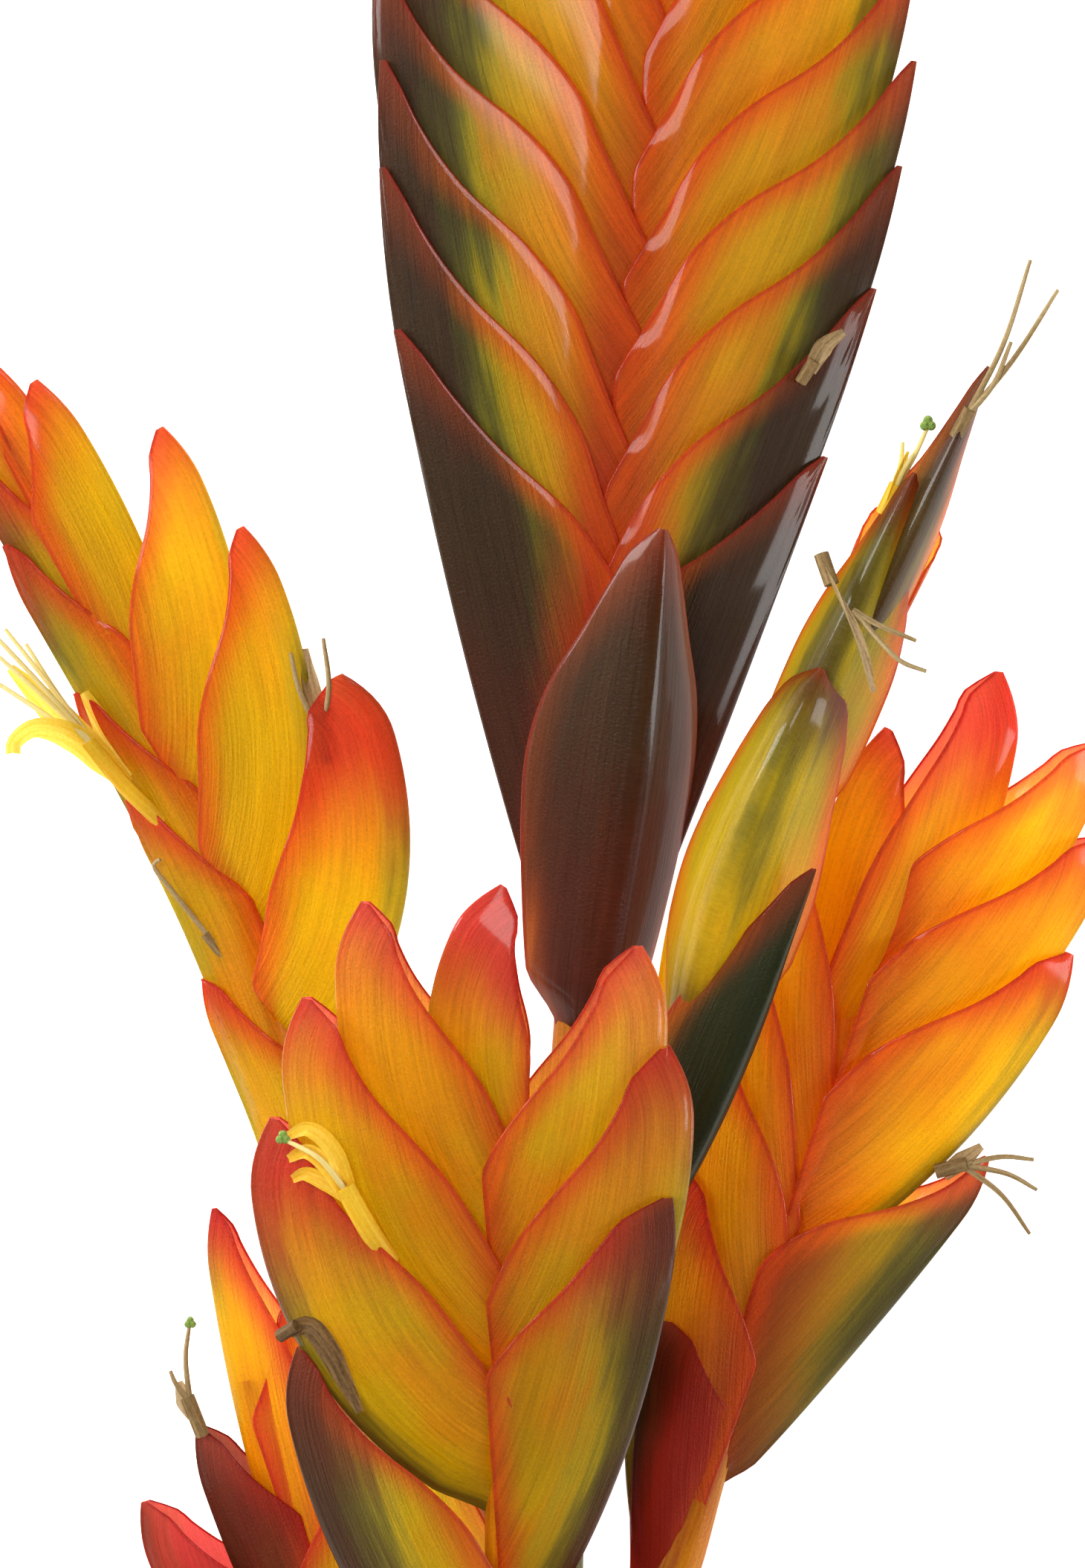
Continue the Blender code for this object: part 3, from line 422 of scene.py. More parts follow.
# Flowers. Each has a root among the bracts, petals as a line with its widths, threads (stamens and
# styles) and knobs (stigmas) with their radii. The hollow side of its petals looks the way it faces.
FLOWERS = {
    "flower_left": dict(
        root_radius=0.9, facing=(0.2, -0.3, 1),
        root=((-39.5, -4, 12), (-43.5, 0, 13), (-47, 4.5, 14.5)),
        petals=[
            (
                ((-43, 0, 12.8), (-48, 4.5, 15.5), (-52, 5.8, 17), (-54.3, 4.4, 17.3), (-54.6, 3, 16)),
                (1.5, 3, 3, 2, 1.5),
            ),
            (((-43, 0, 12.8), (-48, 5, 14), (-52, 9, 14.5), (-55, 12, 15)), (1.5, 3, 3, 1)),
            (((-42.5, 1, 12.6), (-45.5, 6, 12.5), (-47.5, 9.5, 13)), (1.5, 2.6, 1)),
        ],
        threads=[
            ((-45.5, 3, 14), (-50, 9, 15), (-55.5, 16, 15.5)),
            ((-45.5, 3, 14), (-51, 8.6, 16.5), (-57, 14, 17.5)),
            ((-45.5, 3, 14), (-50, 9, 13.6), (-53.5, 14.5, 13.5)),
            ((-45.5, 3, 14), (-52, 7.6, 15.4), (-58, 11.5, 15.5)),
            ((-45.5, 3, 14), (-51.5, 10, 17), (-57.5, 16.5, 18)),
        ],
        knobs=[((-57.7, 16.8, 18), 0.8)],
    ),
    "flower_front": dict(
        root_radius=1.1, facing=(0.3, 0.1, 1),
        root=((-15, -47, 49.4), (-17.2, -43.5, 51), (-19.4, -39.4, 52)),
        petals=[
            (
                ((-19, -40.2, 52), (-20.4, -36, 53), (-22.8, -33.8, 52.6), (-25.2, -34.6, 51)),
                (2, 1.9, 1.7, 0.8),
            ),
            (
                ((-19, -40.2, 52), (-20.9, -37.6, 52.8), (-23, -36, 52.4), (-25, -36.8, 51)),
                (2, 1.8, 1.6, 0.8),
            ),
            (
                ((-19, -40.2, 52), (-21.3, -39, 52.4), (-23.2, -38.2, 52), (-24.6, -38.8, 51)),
                (2, 1.7, 1.5, 0.8),
            ),
        ],
        threads=[((-19, -40.2, 52), (-21.8, -36.6, 54), (-25.2, -34.8, 53))],
        knobs=[((-25.4, -34.6, 53), 0.8)],
    ),
    "flower_edge": dict(
        root_radius=0.9, facing=(0.8, -0.4, 0.3),
        root=((33.6, 26.6, 48.6), (34.9, 29.4, 49.4)),
        petals=[(((34.2, 28, 49.2), (35.3, 31, 50.2), (35.9, 32.6, 50.6)), (1.8, 2.2, 1))],
        threads=[
            ((34.6, 28.8, 49.3), (35.2, 31.5, 50), (35.4, 33.6, 50)),
            ((34.6, 28.8, 49.3), (35.6, 31, 50.6), (36.6, 32.6, 50.8)),
            ((34.6, 28.8, 49.3), (36.4, 32, 50.6), (37.8, 35, 51.5)),
        ],
        knobs=[((37.8, 35.3, 51.5), 0.9)],
    ),
    "withered_left": dict(
        root_radius=0.8, facing=(0.3, 0, 1),
        root=((-22.2, 2, 17), (-22.8, 5.5, 17)),
        petals=[
            (
                ((-22.5, 4.5, 17), (-23.4, 8, 16.6), (-24.2, 11.5, 15.8), (-24.6, 14, 15.2)),
                (1.6, 2.2, 1.8, 0.8),
            ),
        ],
        threads=[
            ((-22.8, 5, 17.2), (-25, 9.5, 17.4), (-26, 13.5, 16.4)),
            ((-22.8, 5, 17.2), (-22, 10, 17.6), (-22.6, 15, 16.6)),
        ],
        knobs=[],
    ),
    "withered_low": dict(
        root_radius=0.6, facing=(0, 0, 1),
        root=((-33, -18, 11.6), (-35, -15.5, 11.8)),
        petals=[],
        threads=[((-34.5, -16, 11.8), (-38.5, -11, 12.2), (-40.3, -8.6, 12.7), (-39.6, -7.8, 13.2))],
        knobs=[],
    ),
    "withered_edge": dict(
        root_radius=0.8, facing=(0.8, -0.4, 0.3),
        root=((27.4, 22.6, 49.8), (28.4, 19.6, 50.4)),
        petals=[(((27.8, 21.5, 50), (30, 17, 51.8), (31.5, 13, 52), (32.5, 9, 51)), (1.6, 2.4, 2, 1))],
        threads=[
            ((30.5, 17, 51.7), (33, 14, 53), (35, 12, 54), (37.5, 11, 54)),
            ((30.5, 17, 51.7), (33, 15.5, 53), (36.5, 14, 54)),
        ],
        knobs=[],
    ),
    "withered_tip": dict(
        root_radius=0.7, facing=(0.8, -0.4, 0.3),
        root=((40.4, 34, 53), (41.8, 36.6, 54.2)),
        petals=[],
        threads=[
            ((41.5, 36, 54), (45, 43, 55), (47.6, 51.1, 55)),
            ((41.5, 36, 54), (46, 41.5, 55), (50.3, 48.2, 55)),
            ((41.5, 36, 54), (44, 39, 55), (45.7, 43.1, 55.5)),
        ],
        knobs=[],
    ),
    "withered_right": dict(
        root_radius=0.8, facing=(0, 0, 1),
        root=((40.8, -40.2, 12.2), (44, -39.3, 12.7)),
        petals=[(((41.5, -40.5, 12.5), (43.5, -39, 13.1), (45.5, -37.5, 13.2)), (1.5, 2, 0.8))],
        threads=[
            ((43.5, -39.5, 12.6), (47.5, -38.6, 13.4), (50.9, -38.9, 13.2)),
            ((43.5, -39.5, 12.6), (47.5, -42.5, 13.4), (50.5, -46.6, 13)),
            ((43.5, -39.5, 12.6), (48, -40.3, 13.8), (51.2, -42, 13.6)),
        ],
        knobs=[],
    ),
    "withered_low_left": dict(
        root_radius=0.8, facing=(0, 0, 1),
        root=((-35, -67, 17.8), (-36.5, -63, 18.6)),
        petals=[(((-35.8, -65, 18.4), (-36.6, -63.6, 19), (-37.4, -61.4, 19)), (1.5, 2, 0.8))],
        threads=[
            ((-36.2, -63.8, 18.5), (-37.6, -61.6, 19.8), (-38.2, -60.2, 20)),
            ((-36.2, -63.8, 18.5), (-36.6, -59, 20.4), (-36.2, -55.5, 21)),
        ],
        knobs=[((-36.1, -55.2, 21), 0.7)],
    ),
    "withered_front": dict(
        root_radius=0.7, facing=(0, 0, 1),
        root=((-26, -54.6, 45.4), (-24.2, -53.4, 47)),
        petals=[
            (
                (
                    (-25, -54, 46.4), (-23, -53.5, 47.5), (-21, -56, 47.6),
                    (-19.5, -59, 47.2), (-18, -62, 46.9),
                ),
                (1.4, 2.2, 2.2, 1.6, 0.8),
            ),
        ],
        threads=[],
        knobs=[],
    ),
    "withered_centre": dict(
        root_radius=0.7, facing=(0, 0, 1),
        root=((26.6, 41.4, 17), (28, 43.6, 17.8)),
        petals=[(((27.5, 42.5, 17.6), (29, 45, 18.4), (31, 46.5, 18.2)), (1.4, 2, 0.8))],
        threads=[],
        knobs=[],
    ),
}


LIME, GREEN = colour(200, 176, 26), colour(132, 126, 34)
OLIVE, BROWN = colour(98, 88, 36), colour(82, 58, 34)
MAROON, DARK_GREEN = colour(108, 38, 26), colour(44, 58, 28)
ORANGE, SCARLET = colour(244, 104, 20), colour(226, 62, 36)
RED, CRIMSON = colour(206, 52, 34), colour(190, 40, 34)

BROWN_REACH = 9.0  # millimetres from its keel that a wholly aged bract is brown for at its foot
SHARE_THROUGH = 0.68  # of the light that passes a bract
THROUGH_GAMMA = 0.66  # of a bract's colour for the light that passes it
PLANT_GAMMA = 0.6  # the same for stalks and flowers
BRACT_COAT, COAT_ROUGHNESS, SPECULAR = 0.5, 0.1, 0.2
BRACT_ROUGHNESS = (0.22, 0.45)  # from its smoothest to its roughest spots
BRACT_RELIEF, PLANT_RELIEF = (0.0003, 0.7), (0.0002, 0.4)  # metres deep, and strength
GRAIN_ROUGHNESS = 0.55  # of every noise
MIX_INPUTS, MIX_OUTPUT = (0, 6, 7), 2  # a Mix node's factor and two colours, and the mixed colour

# Each spike's bracts. inner and glow are clouded over the inside, margin and tip are the colours there,
# and tip_start is where along a bract the tip's colour begins. red lies along the middle of the spike,
# as strong as flush. opaque is how far an aged part dims the light behind it. ages says how browned each
# bract is, from the lowest up, and greens and reds name the few that are greener or redder.
LOOKS = {
    "spike_centre": dict(
        inner=colour(242, 168, 20), glow=colour(230, 186, 12), margin=ORANGE, tip=SCARLET,
        red=colour(218, 54, 34), tip_start=0.78, opaque=0.5, flush=1.0,
        ages=(1.1, 1.15, 0.95, 0.95, 0.8, 0.8, 0.6, 0.75, 0.45, 0.7, 0.35, 0.6, 0.25, 0.45, 0.15, 0.3),
        greens={}, reds={},
    ),
    "spike_left": dict(
        inner=colour(242, 176, 12), glow=colour(234, 198, 6), margin=ORANGE, tip=colour(222, 66, 30),
        red=RED, tip_start=0.66, opaque=0.3, flush=0.15,
        ages=(0.1, 0.25, 0.1, 0.12, 0.2, 0.08, 0.25, 0.06, 0.25, 0.1, 0.2),
        greens={}, reds={1: 0.5},
    ),
    "spike_front": dict(
        inner=colour(230, 162, 8), glow=colour(216, 184, 4), margin=colour(226, 92, 22),
        tip=colour(200, 58, 42), red=RED, tip_start=0.6, opaque=0.5, flush=0.1,
        ages=(0.7, 0.7, 0.7, 0.62, 0.5, 0.3, 0.15, 0.06),
        greens={}, reds={5: 0.3, 10: 0.5},
    ),
    "spike_right": dict(
        inner=colour(255, 184, 8), glow=colour(255, 210, 4), margin=ORANGE, tip=SCARLET,
        red=colour(226, 66, 44), tip_start=0.7, opaque=0.3, flush=1.6,
        ages=(0.9, 0.3, 0.35, 0, 0.2, 0, 0.05),
        greens={2: 0.5}, reds={10: 0.5},
    ),
    "spike_edge": dict(
        inner=colour(236, 168, 12), glow=colour(206, 184, 14), margin=ORANGE, tip=MAROON,
        red=RED, tip_start=0.74, opaque=0.6, flush=0.5,
        ages=(0.6, 0.5, 0.25, 0.4, 0.3, 0.4, 0.5),
        greens={0: 0.95}, reds={},
    ),
    "spike_low_left": dict(
        inner=colour(250, 168, 10), glow=colour(240, 186, 8), margin=SCARLET, tip=CRIMSON,
        red=RED, tip_start=0.68, opaque=0.5, flush=0.3,
        ages=(0.3, 0.2, 0.4, 0.15, 0.8, 0.1, 0.15),
        greens={}, reds={2: 1.0, 4: 0.5},
    ),
}

# Stalks and flowers: darker and lighter tone, roughness, share of the light that passes, and how the
# fibres' noise is stretched (across, along, between pieces).
FIBRES, SHORT_FIBRES, NO_FIBRES = (2.5, 0.08, 1), (3, 0.2, 1), (3, 3, 1)
PLANT_LOOKS = {
    "stalk": (colour(190, 96, 14), colour(226, 150, 20), 0.4, 0.45, FIBRES),
    "stem_skin": (colour(70, 74, 36), colour(112, 110, 56), 0.42, 0.15, FIBRES),
    "stem_cut": (colour(150, 160, 96), colour(206, 208, 150), 0.6, 0.2, (2.5, 2.5, 1)),
    "petal": (colour(226, 176, 20), colour(246, 214, 70), 0.4, 0.5, (3, 0.1, 1)),
    "thread": (colour(226, 206, 120), colour(240, 228, 168), 0.5, 0.4, FIBRES),
    "stigma": (colour(96, 130, 50), colour(150, 172, 84), 0.6, 0.2, NO_FIBRES),
    "withered": (colour(110, 84, 48), colour(170, 142, 96), 0.7, 0.35, SHORT_FIBRES),
    "dark_withered": (colour(70, 48, 26), colour(128, 96, 54), 0.6, 0.2, SHORT_FIBRES),
    "dry_thread": (colour(140, 112, 70), colour(196, 174, 128), 0.7, 0.3, FIBRES),
}
# The materials of a flower's root and petals, its threads and its knobs.
FRESH_KINDS = ("petal", "thread", "stigma")
DRY_KINDS = ("withered", "dry_thread", "stigma")
OTHER_KINDS = {"withered_front": ("dark_withered", "dry_thread", "stigma")}


class Graph:
    """A material and short calls that add nodes to it."""

    def __init__(self, name):
        self.material = bpy.data.materials.new(name)
        self.material.use_nodes = True
        self.nodes = self.material.node_tree.nodes
        self.links = self.material.node_tree.links
        self.nodes.clear()
        self.grain = None

    def put(self, socket, value):
        if isinstance(value, bpy.types.NodeSocket):
            self.links.new(value, socket)
        elif isinstance(value, tuple) and len(value) == 3 and socket.type == "RGBA":
            socket.default_value = (*value, 1)
        else:
            socket.default_value = value

    def node(self, kind, inputs, **settings):
        made = self.nodes.new(kind)
        for name, value in settings.items():
            setattr(made, name, value)
        for name, value in inputs.items():
            self.put(made.inputs[name], value)
        return made

    def attribute(self, name, output="Fac"):
        return self.node("ShaderNodeAttribute", {}, attribute_name=name).outputs[output]

    def math(self, operation, *values):
        made = self.nodes.new("ShaderNodeMath")
        made.operation = operation
        for socket, value in zip(made.inputs, values):
            self.put(socket, value)
        return made.outputs[0]

    def add(self, first, second):
        return self.math("ADD", first, second)

    def times(self, first, second):
        return self.math("MULTIPLY", first, second)

    def less(self, first, second):
        return self.math("SUBTRACT", first, second)

    def fade(self, value, start, end):
        """0 where value is at start or before it, 1 from end on."""
        inputs = {"Value": value, "From Min": start, "From Max": end}
        made = self.node("ShaderNodeMapRange", inputs, interpolation_type="SMOOTHSTEP")
        return made.outputs["Result"]

    def mix(self, factor, first, second, blend="MIX"):
        made = self.nodes.new("ShaderNodeMix")
        made.data_type, made.blend_type = "RGBA", blend
        for place, value in zip(MIX_INPUTS, (factor, first, second)):
            self.put(made.inputs[place], value)
        return made.outputs[MIX_OUTPUT]

    def ramp(self, value, *stops):
        made = self.node("ShaderNodeValToRGB", {"Fac": value})
        elements = made.color_ramp.elements
        while len(elements) < len(stops):
            elements.new(0.5)
        for element, (place, shade) in zip(elements, stops):
            element.position = place
            element.color = (*shade, 1)
        return made.outputs["Color"]

    def noise(self, stretch, detail=3.0):
        """Noise along the piece's own grain, in millimetres, stretched by (across, along, between pieces)."""
        if self.grain is None:
            self.grain = self.attribute("grain", "Vector")
        mapped = self.node("ShaderNodeMapping", {"Vector": self.grain, "Scale": stretch}).outputs["Vector"]
        inputs = {"Vector": mapped, "Scale": 1.0, "Detail": detail, "Roughness": GRAIN_ROUGHNESS}
        return self.node("ShaderNodeTexNoise", inputs).outputs["Fac"]

    def bump(self, height, distance, strength):
        inputs = {"Height": height, "Distance": distance, "Strength": strength}
        return self.node("ShaderNodeBump", inputs).outputs["Normal"]

    def finish(self, shader):
        output = self.nodes.new("ShaderNodeOutputMaterial")
        self.links.new(shader, output.inputs["Surface"])
        return self.material

    def sheet_shader(self, shade, through, roughness, normal, share, coat=0.0):
        """A waxy or papery sheet that lets this share of the light through."""
        inputs = {
            "Base Color": shade, "Roughness": roughness, "Normal": normal,
            "Coat Weight": coat, "Coat Roughness": COAT_ROUGHNESS, "Specular IOR Level": SPECULAR,
        }
        front = self.node("ShaderNodeBsdfPrincipled", inputs)
        behind = self.node("ShaderNodeBsdfTranslucent", {"Color": through, "Normal": normal})
        mixed = self.nodes.new("ShaderNodeMixShader")
        mixed.inputs[0].default_value = share
        self.links.new(front.outputs[0], mixed.inputs[1])
        self.links.new(behind.outputs[0], mixed.inputs[2])
        return mixed.outputs[0]


def bract_material(name, look):
    """A bract's colours, from its amber inside out to its margin and tip."""
    g = Graph(name)
    along, margin, keel_side = g.attribute("along"), g.attribute("margin"), g.attribute("keel_side")
    middle, age = g.attribute("middle"), g.attribute("age")
    green, redness = g.attribute("green"), g.attribute("redness")
    clouds = g.noise((0.09, 0.05, 2.3), 2.0)
    patches = g.noise((0.16, 0.035, 1), 4.0)
    streaks = g.noise((0.7, 0.03, 1))
    fibres = g.noise((4.0, 0.09, 1))
    pores = g.noise((5.0, 3.6, 1))
    uneven, streaked = g.less(patches, 0.5), g.less(streaks, 0.5)

    # Clouds of a greener yellow.
    inside = g.mix(g.fade(clouds, 0.36, 0.6), look["inner"], look["glow"])

    # Age spreads from the keel inwards, and further near the tip.
    reached = g.times(age, g.add(BROWN_REACH, g.times(along, BROWN_REACH)))
    ahead = g.math("DIVIDE", g.less(reached, keel_side), BROWN_REACH)
    browned = g.add(ahead, g.add(uneven, g.times(streaked, 0.7)))
    aged = g.ramp(browned, (0.0, LIME), (0.12, LIME), (0.3, GREEN), (0.5, OLIVE), (0.8, BROWN), (1.0, BROWN))
    base = g.mix(g.fade(browned, -0.1, 0.16), inside, aged)

    # Maroon at the foot of an aged bract.
    foot = g.less(1.0, g.fade(g.add(along, uneven), 0.1, 0.75))
    foot = g.times(foot, g.fade(browned, 0.2, 0.8))
    base = g.mix(g.times(foot, 0.7), base, MAROON)

    # Red along the middle of the spike.
    flush = g.less(1.0, g.fade(g.add(middle, g.times(uneven, 5.0)), 1.0, 9.0))
    flush = g.times(flush, g.times(g.add(age, 0.15), look["flush"]))
    base = g.mix(g.math("MINIMUM", flush, 0.9), base, look["red"])

    # A band inside the margin and a tip of their own colours, calmer on aged parts.
    calm = g.less(1.0, g.times(g.fade(browned, 0.2, 1.0), 0.75))
    rim = g.less(1.0, g.fade(g.add(margin, g.times(uneven, 3.0)), 0.0, 3.8))
    base = g.mix(g.times(g.times(rim, calm), 0.85), base, look["margin"])
    further = g.add(g.times(uneven, 0.4), g.times(redness, 0.4))
    end = g.fade(g.add(along, further), look["tip_start"], 1.05)
    base = g.mix(g.times(end, calm), base, look["tip"])

    # A thin dark red line at the edge itself, and dark green inside the edge of the few greener bracts.
    line = g.less(1.0, g.fade(margin, 0.1, 0.5))
    base = g.mix(g.times(line, 0.5), base, CRIMSON)
    greened = g.times(green, g.fade(g.add(patches, margin), 1.4, 4.2))
    base = g.mix(greened, base, DARK_GREEN)

    # Fibres, streaks and pores are darker.
    shade = g.add(g.times(fibres, 0.75), g.times(streaks, 0.5))
    shade = g.add(g.add(shade, g.times(pores, 0.5)), 0.13)
    grey = g.node("ShaderNodeCombineColor", {"Red": shade, "Green": shade, "Blue": shade}).outputs[0]
    base = g.mix(1.0, base, grey, "MULTIPLY")

    # The light that passes is paler, and less passes where the bract is aged or green.
    through = g.node("ShaderNodeGamma", {"Color": base, "Gamma": THROUGH_GAMMA}).outputs[0]
    dimming = g.times(g.fade(g.add(browned, greened), 0.1, 0.9), look["opaque"])
    through = g.mix(dimming, through, BLACK)
    inputs = {"Value": pores, "To Min": BRACT_ROUGHNESS[0], "To Max": BRACT_ROUGHNESS[1]}
    roughness = g.node("ShaderNodeMapRange", inputs).outputs["Result"]
    normal = g.bump(g.add(g.times(fibres, 1.2), g.times(pores, 0.8)), *BRACT_RELIEF)
    return g.finish(g.sheet_shader(base, through, roughness, normal, SHARE_THROUGH, BRACT_COAT))


def plain_plant_material(name, low, high, roughness, share, stretch):
    """A fibrous plant surface between two tones."""
    g = Graph(name)
    fibres = g.noise(stretch)
    pores = g.noise((3.0, 2.4, 1), 4.0)
    tone = g.mix(g.fade(g.add(g.times(pores, 0.4), fibres), 0.45, 0.95), low, high)
    through = g.node("ShaderNodeGamma", {"Color": tone, "Gamma": PLANT_GAMMA}).outputs[0]
    normal = g.bump(g.add(fibres, pores), *PLANT_RELIEF)
    return g.finish(g.sheet_shader(tone, through, roughness, normal, share))


class Pieces:
    """Points, faces and their values, gathered for one object."""

    VALUES = ("along", "margin", "keel_side", "middle", "age", "green", "redness")

    def __init__(self):
        self.points, self.faces, self.slots, self.grain = [], [], [], []
        self.values = {name: [] for name in self.VALUES}
        self.count = 0

    def add(self, points, faces, slot, grain, **values):
        points = np.asarray(points, float).reshape(-1, 3)
        self.points.append(points)
        self.faces += [tuple(index + self.count for index in face) for face in faces]
        self.slots += [slot] * len(faces)
        self.grain.append(np.asarray(grain, float).reshape(-1, 3))
        for name in self.VALUES:
            self.values[name].append(np.broadcast_to(np.ravel(values.get(name, 0.5)), len(points)))
        self.count += len(points)

    def make(self, name, *materials):
        placed = (np.vstack(self.points) - ORIGIN) * MM
        placed[:, 2] = np.maximum(placed[:, 2], 0)
        mesh = bpy.data.meshes.new(name)
        mesh.from_pydata(placed.tolist(), [], self.faces)
        mesh.polygons.foreach_set("material_index", self.slots)
        mesh.polygons.foreach_set("use_smooth", [True] * len(self.faces))
        for value, parts in self.values.items():
            held = mesh.attributes.new(value, "FLOAT", "POINT")
            held.data.foreach_set("value", np.concatenate(parts))
        held = mesh.attributes.new("grain", "FLOAT_VECTOR", "POINT")
        held.data.foreach_set("vector", np.vstack(self.grain).ravel())
        for material in materials:
            mesh.materials.append(material)
        made = bpy.data.objects.new(name, mesh)
        bpy.context.scene.collection.objects.link(made)
        return made


def grid_faces(rows, columns, flipped=False):
    faces = []
    for i in range(rows - 1):
        for j in range(columns - 1):
            a = i * columns + j
            face = (a, a + columns, a + columns + 1, a + 1)
            faces.append(face[::-1] if flipped else face)
    return faces


def unit(vectors):
    return vectors / np.maximum(np.linalg.norm(vectors, axis=-1, keepdims=True), 1e-9)


def rolled_margin(points, facing, inner):
    """The points that roll a margin under: a small bead along the sheet's edge."""
    away = unit(points - inner)
    along = unit(np.gradient(points, axis=0))
    normal = np.cross(along, away)
    normal *= np.where((normal * facing).sum(-1) < 0, -1, 1)[:, None]
    turned = []
    for angle in np.radians(BEAD_ANGLES):
        out, under = math.sin(angle) * BEAD_RADIUS, (1 - math.cos(angle)) * BEAD_RADIUS
        turned.append(points + out * away - under * normal)
    return np.stack(turned, 1)


def add_bract(pieces, spike, row, index, slot=0, **tints):
    """A bract's sheet, with its margins rolled under. Its points crowd at the keel."""
    u = np.linspace(0, 1, BRACT_ROWS)[:, None]
    even = np.linspace(-1, 1, BRACT_COLUMNS)
    v = (np.sign(even) * np.abs(even) ** BRACT_CROWDING)[None, :]
    points, facing = bract_points(spike, row, u, v)
    left = rolled_margin(points[:, 0], facing[:, 0], points[:, 1])
    right = rolled_margin(points[:, -1], facing[:, -1], points[:, -2])
    points = np.concatenate([left[:, ::-1], points, right], 1)
    turns = len(BEAD_ANGLES)
    v = np.concatenate([np.full(turns, -1.0), v[0], np.full(turns, 1.0)])[None, :] * np.ones_like(u)
    off, _, angle = keel(row, u)
    width = bract_width(row, u, off, angle)
    along, inward = u * np.ones_like(v), np.abs(v) * width
    middle = np.abs(off - inward * np.cos(angle)) + (APART_FROM_MIDDLE if row["round"] else 0)
    grain = np.stack([v * width, along * row["length"], np.full_like(v, index * BRACT_GRAIN)], -1)
    values = dict(along=along, margin=(1 - np.abs(v)) * width, keel_side=inward, middle=middle)
    faces = grid_faces(BRACT_ROWS, points.shape[1], row["side"] == LEFT)
    pieces.add(points, faces, slot, grain, **values, **tints)


def add_tube(pieces, points, radii, sides, slot, closed_slot=None, index=0):
    """A round rod through smooth points. Its ends are closed, in the closed slot's material if it has one."""
    points, radii = np.asarray(points, float), np.asarray(radii, float)
    tangent = unit(np.gradient(points, axis=0))
    helper = np.array((0.3, 0.1, 1.0)) if abs(tangent[0, 2]) < 0.9 else np.array((1.0, 0, 0))
    sideways = unit(np.cross(tangent, helper))
    upward = np.cross(sideways, tangent)
    turn = np.linspace(0, 2 * math.pi, sides, endpoint=False)
    ring = np.cos(turn)[None, :, None] * sideways[:, None] + np.sin(turn)[None, :, None] * upward[:, None]
    rows = points[:, None] + ring * radii[:, None, None]
    faces = []
    for low in range(0, (len(points) - 1) * sides, sides):
        high = low + sides
        for j in range(sides):
            k = (j + 1) % sides
            faces.append((low + k, high + k, high + j, low + j))
    length = np.concatenate([[0], np.cumsum(np.linalg.norm(np.diff(points, axis=0), axis=1))])
    even = np.ones((len(points), sides))
    around = np.abs(turn / math.pi - 1) * radii[:, None] * ROUND_GRAIN
    pieces.add(rows, faces, slot, np.stack([around, length[:, None] * even, index * even], -1))
    for place, order in ((0, 1), (len(points) - 1, -1)):
        middle = rows[place].mean(0)
        flat = np.vstack([rows[place], middle])
        fan = [(j, (j + 1) % sides, sides)[::order] for j in range(sides)]
        across = [(flat - middle) @ sideways[place], (flat - middle) @ upward[place]]
        grain = np.stack([*across, np.zeros(sides + 1)], -1)
        pieces.add(flat, fan, slot if closed_slot is None else closed_slot, grain)


def add_ball(pieces, centre, radius, slot):
    turn = np.linspace(0, 2 * math.pi, BALL_COLUMNS)
    tilt = np.linspace(0, math.pi, BALL_ROWS)[:, None]
    level = np.cos(tilt) * np.ones_like(turn)
    ball = np.stack([np.sin(tilt) * np.cos(turn), np.sin(tilt) * np.sin(turn), level], -1) * radius
    pieces.add(ball + centre, grid_faces(BALL_ROWS, BALL_COLUMNS), slot, ball)


def add_petal(pieces, points, widths, facing, slot, index):
    """A folded, slightly cupped strip along a line."""
    path = Path(points)
    stations = np.linspace(0, path.length, PETAL_ROWS)
    place, tangent = path.at(stations)
    sideways = unit(np.cross(tangent, facing))
    normal = np.cross(sideways, tangent)
    half = np.interp(stations / path.length, np.linspace(0, 1, len(widths)), widths)[:, None] / 2
    v = np.linspace(-1, 1, PETAL_COLUMNS)
    sag = -PETAL_FOLD * (1 - v**2)
    section = v[:, None] * sideways[:, None] + sag[:, None] * normal[:, None]
    even = np.ones((PETAL_ROWS, PETAL_COLUMNS))
    grain = np.stack([v * half, stations[:, None] * even, index * even], -1)
    rows = place[:, None] + half[..., None] * section
    pieces.add(rows, grid_faces(PETAL_ROWS, PETAL_COLUMNS), slot, grain)


def build_spike(name, spike, stalk):
    look = LOOKS[name]
    pieces = Pieces()
    for index, row in enumerate(spike["rows"]):
        age = look["ages"][index] if index < len(look["ages"]) else 0
        green, redness = look["greens"].get(index, 0), look["reds"].get(index, 0)
        add_bract(pieces, spike, row, index, age=age, green=green, redness=redness)
    path = spike["path"]
    stations = np.linspace(CENTRE_FROM if name == "spike_centre" else RACHIS_FROM, path.length, RACHIS_RINGS)
    radii = np.interp(stations, (0, path.length), RACHIS_RADIUS) * RACHIS_THINNED
    add_tube(pieces, path.at(stations)[0], radii, RACHIS_SIDES, 1)
    made = pieces.make(name + "_bracts", bract_material(name + "_bracts", look), stalk)
    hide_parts(name)
    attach(made, "root")


def build_stem(path, skin, cut):
    """The stem, with the cut face's material on its ends, and the scale leaves on it."""
    pieces = Pieces()
    stations = np.linspace(CUT_INSET, path.length, STEM_RINGS)
    radii = np.interp(stations, (0, path.length), STEM_RADIUS) * STEM_THINNED
    add_tube(pieces, path.at(stations)[0], radii, STEM_SIDES, 0, 1)
    tints = dict(age=SCALE_AGE, green=SCALE_GREEN, redness=0)
    for index, row in enumerate(SCALES["rows"], FIRST_SCALE):
        add_bract(pieces, SCALES, row, index, slot=2, **tints)
    scale_look = dict(LOOKS["spike_centre"], tip=BROWN, margin=MAROON)
    made = pieces.make("stem_skin", skin, cut, bract_material("scale_leaf", scale_look))
    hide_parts("stem")
    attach(made, "root")


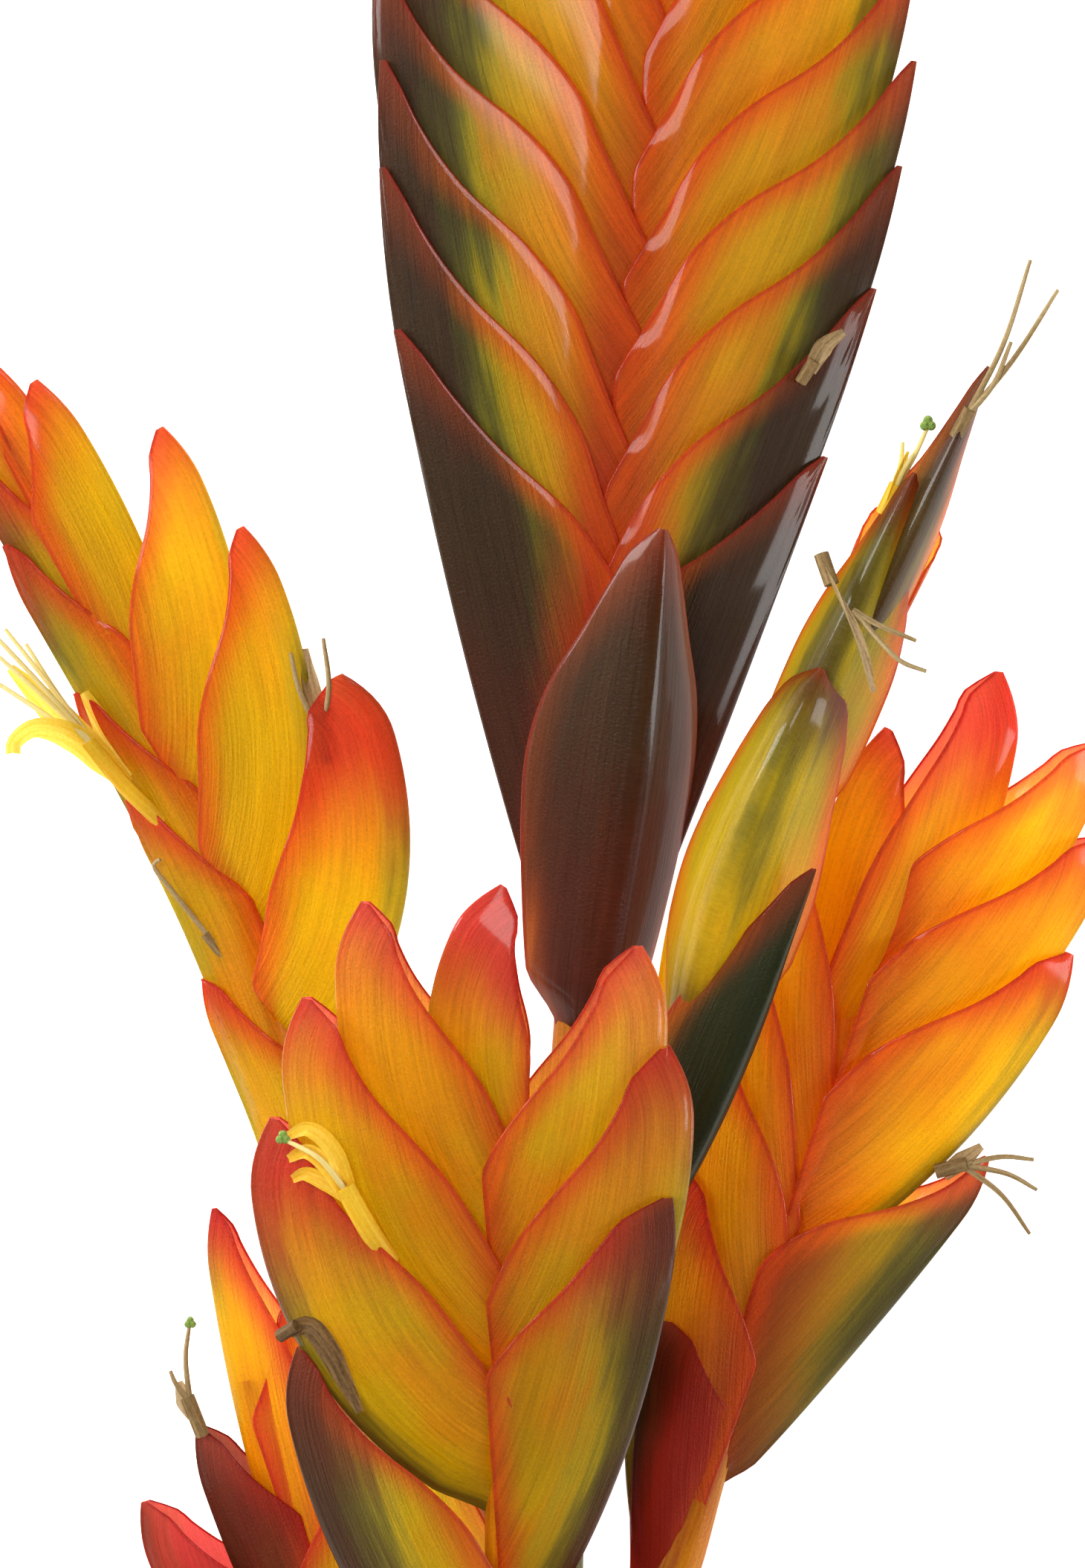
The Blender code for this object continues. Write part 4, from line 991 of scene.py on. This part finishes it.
def build_flower(name, flower, materials):
    """Petals, threads and knobs on their root."""
    pieces = Pieces()
    root = Path(flower["root"])
    stations = np.linspace(0, root.length, ROOT_RINGS)
    radii = np.full(ROOT_RINGS, flower["root_radius"] * ROOT_THINNED)
    add_tube(pieces, root.at(stations)[0], radii, ROOT_SIDES, 0)
    for index, (line, widths) in enumerate(flower["petals"]):
        add_petal(pieces, line, widths, flower["facing"], 0, index)
    for index, line in enumerate(flower["threads"]):
        path = Path(line)
        stations = np.linspace(0, path.length, THREAD_RINGS)
        radii = np.interp(stations / path.length, THREAD_PLACES, THREAD_TAPER) * THREAD_RADIUS
        add_tube(pieces, path.at(stations)[0], radii, THREAD_SIDES, 1, index=index)
    for point, radius in flower["knobs"]:
        for turn in np.radians(LOBES):
            lobe = point + np.array((math.cos(turn), math.sin(turn), 0)) * radius * LOBE_OFF
            add_ball(pieces, lobe, radius * LOBE_SIZE, 2)
    kinds = OTHER_KINDS.get(name, FRESH_KINDS if name.startswith("flower") else DRY_KINDS)
    made = pieces.make(name + "_fine", *(materials[kind] for kind in kinds))
    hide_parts(name)
    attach(made, "root")


def add_floor():
    """A pale floor that is lit from below, as a light table is."""
    g = Graph("floor")
    inputs = {
        "Base Color": FLOOR_SHADE, "Roughness": FLOOR_ROUGHNESS,
        "Emission Color": WHITE, "Emission Strength": FLOOR_GLOW,
    }
    material = g.finish(g.node("ShaderNodeBsdfPrincipled", inputs).outputs[0])
    bpy.ops.mesh.primitive_plane_add(size=FLOOR_SIZE, location=(0, 0, -FLOOR_GAP))
    floor = bpy.context.object
    floor.name = "floor"
    floor.data.materials.append(material)


def add_light(name, place, target, size, power):
    data = bpy.data.lights.new(name, "AREA")
    data.shape = "RECTANGLE"
    data.size, data.size_y = size
    data.energy = power
    light = bpy.data.objects.new(name, data)
    light.location = place
    away = np.array(place, float) - np.array(target, float)
    light.rotation_euler = mathutils.Vector(away).to_track_quat("Z", "Y").to_euler()
    bpy.context.scene.collection.objects.link(light)


def add_camera():
    data = bpy.data.cameras.new("camera")
    data.sensor_fit = "VERTICAL"
    data.sensor_height = SENSOR
    seen = PHOTO_SIZE[1] / PHOTO_SCALE
    data.lens = SENSOR * CAMERA_DISTANCE / seen
    data.clip_start = NEAREST_SEEN
    camera = bpy.data.objects.new("camera", data)
    camera.location = (np.array((0, 0, CAMERA_HEIGHT)) - ORIGIN) * MM
    bpy.context.scene.collection.objects.link(camera)
    bpy.context.scene.camera = camera


def add_world():
    world = bpy.data.worlds.new("studio")
    world.use_nodes = True
    background = world.node_tree.nodes["Background"]
    background.inputs["Color"].default_value = (*WHITE, 1)
    background.inputs["Strength"].default_value = WORLD_GLOW
    bpy.context.scene.world = world
    bpy.context.scene.view_settings.view_transform = "Standard"


def main():
    add_camera()
    add_floor()
    add_world()
    for light in LIGHTS:
        add_light(*light)

    materials = {name: plain_plant_material(name, *look) for name, look in PLANT_LOOKS.items()}
    SCALES["path"] = Path(STEM)
    SCALES["rows"] = [with_defaults(row, SCALES) for row in SCALES["bracts"]]
    build_stem(SCALES["path"], materials["stem_skin"], materials["stem_cut"])
    for name, spike in SPIKES.items():
        spike["path"] = Path(spike["axis"])
        spike["rows"] = [with_defaults(row, spike) for row in spike["bracts"]]
        cover_rows(spike["rows"])
        build_spike(name, spike, materials["stalk"])
    for name, flower in FLOWERS.items():
        build_flower(name, flower, materials)


main()
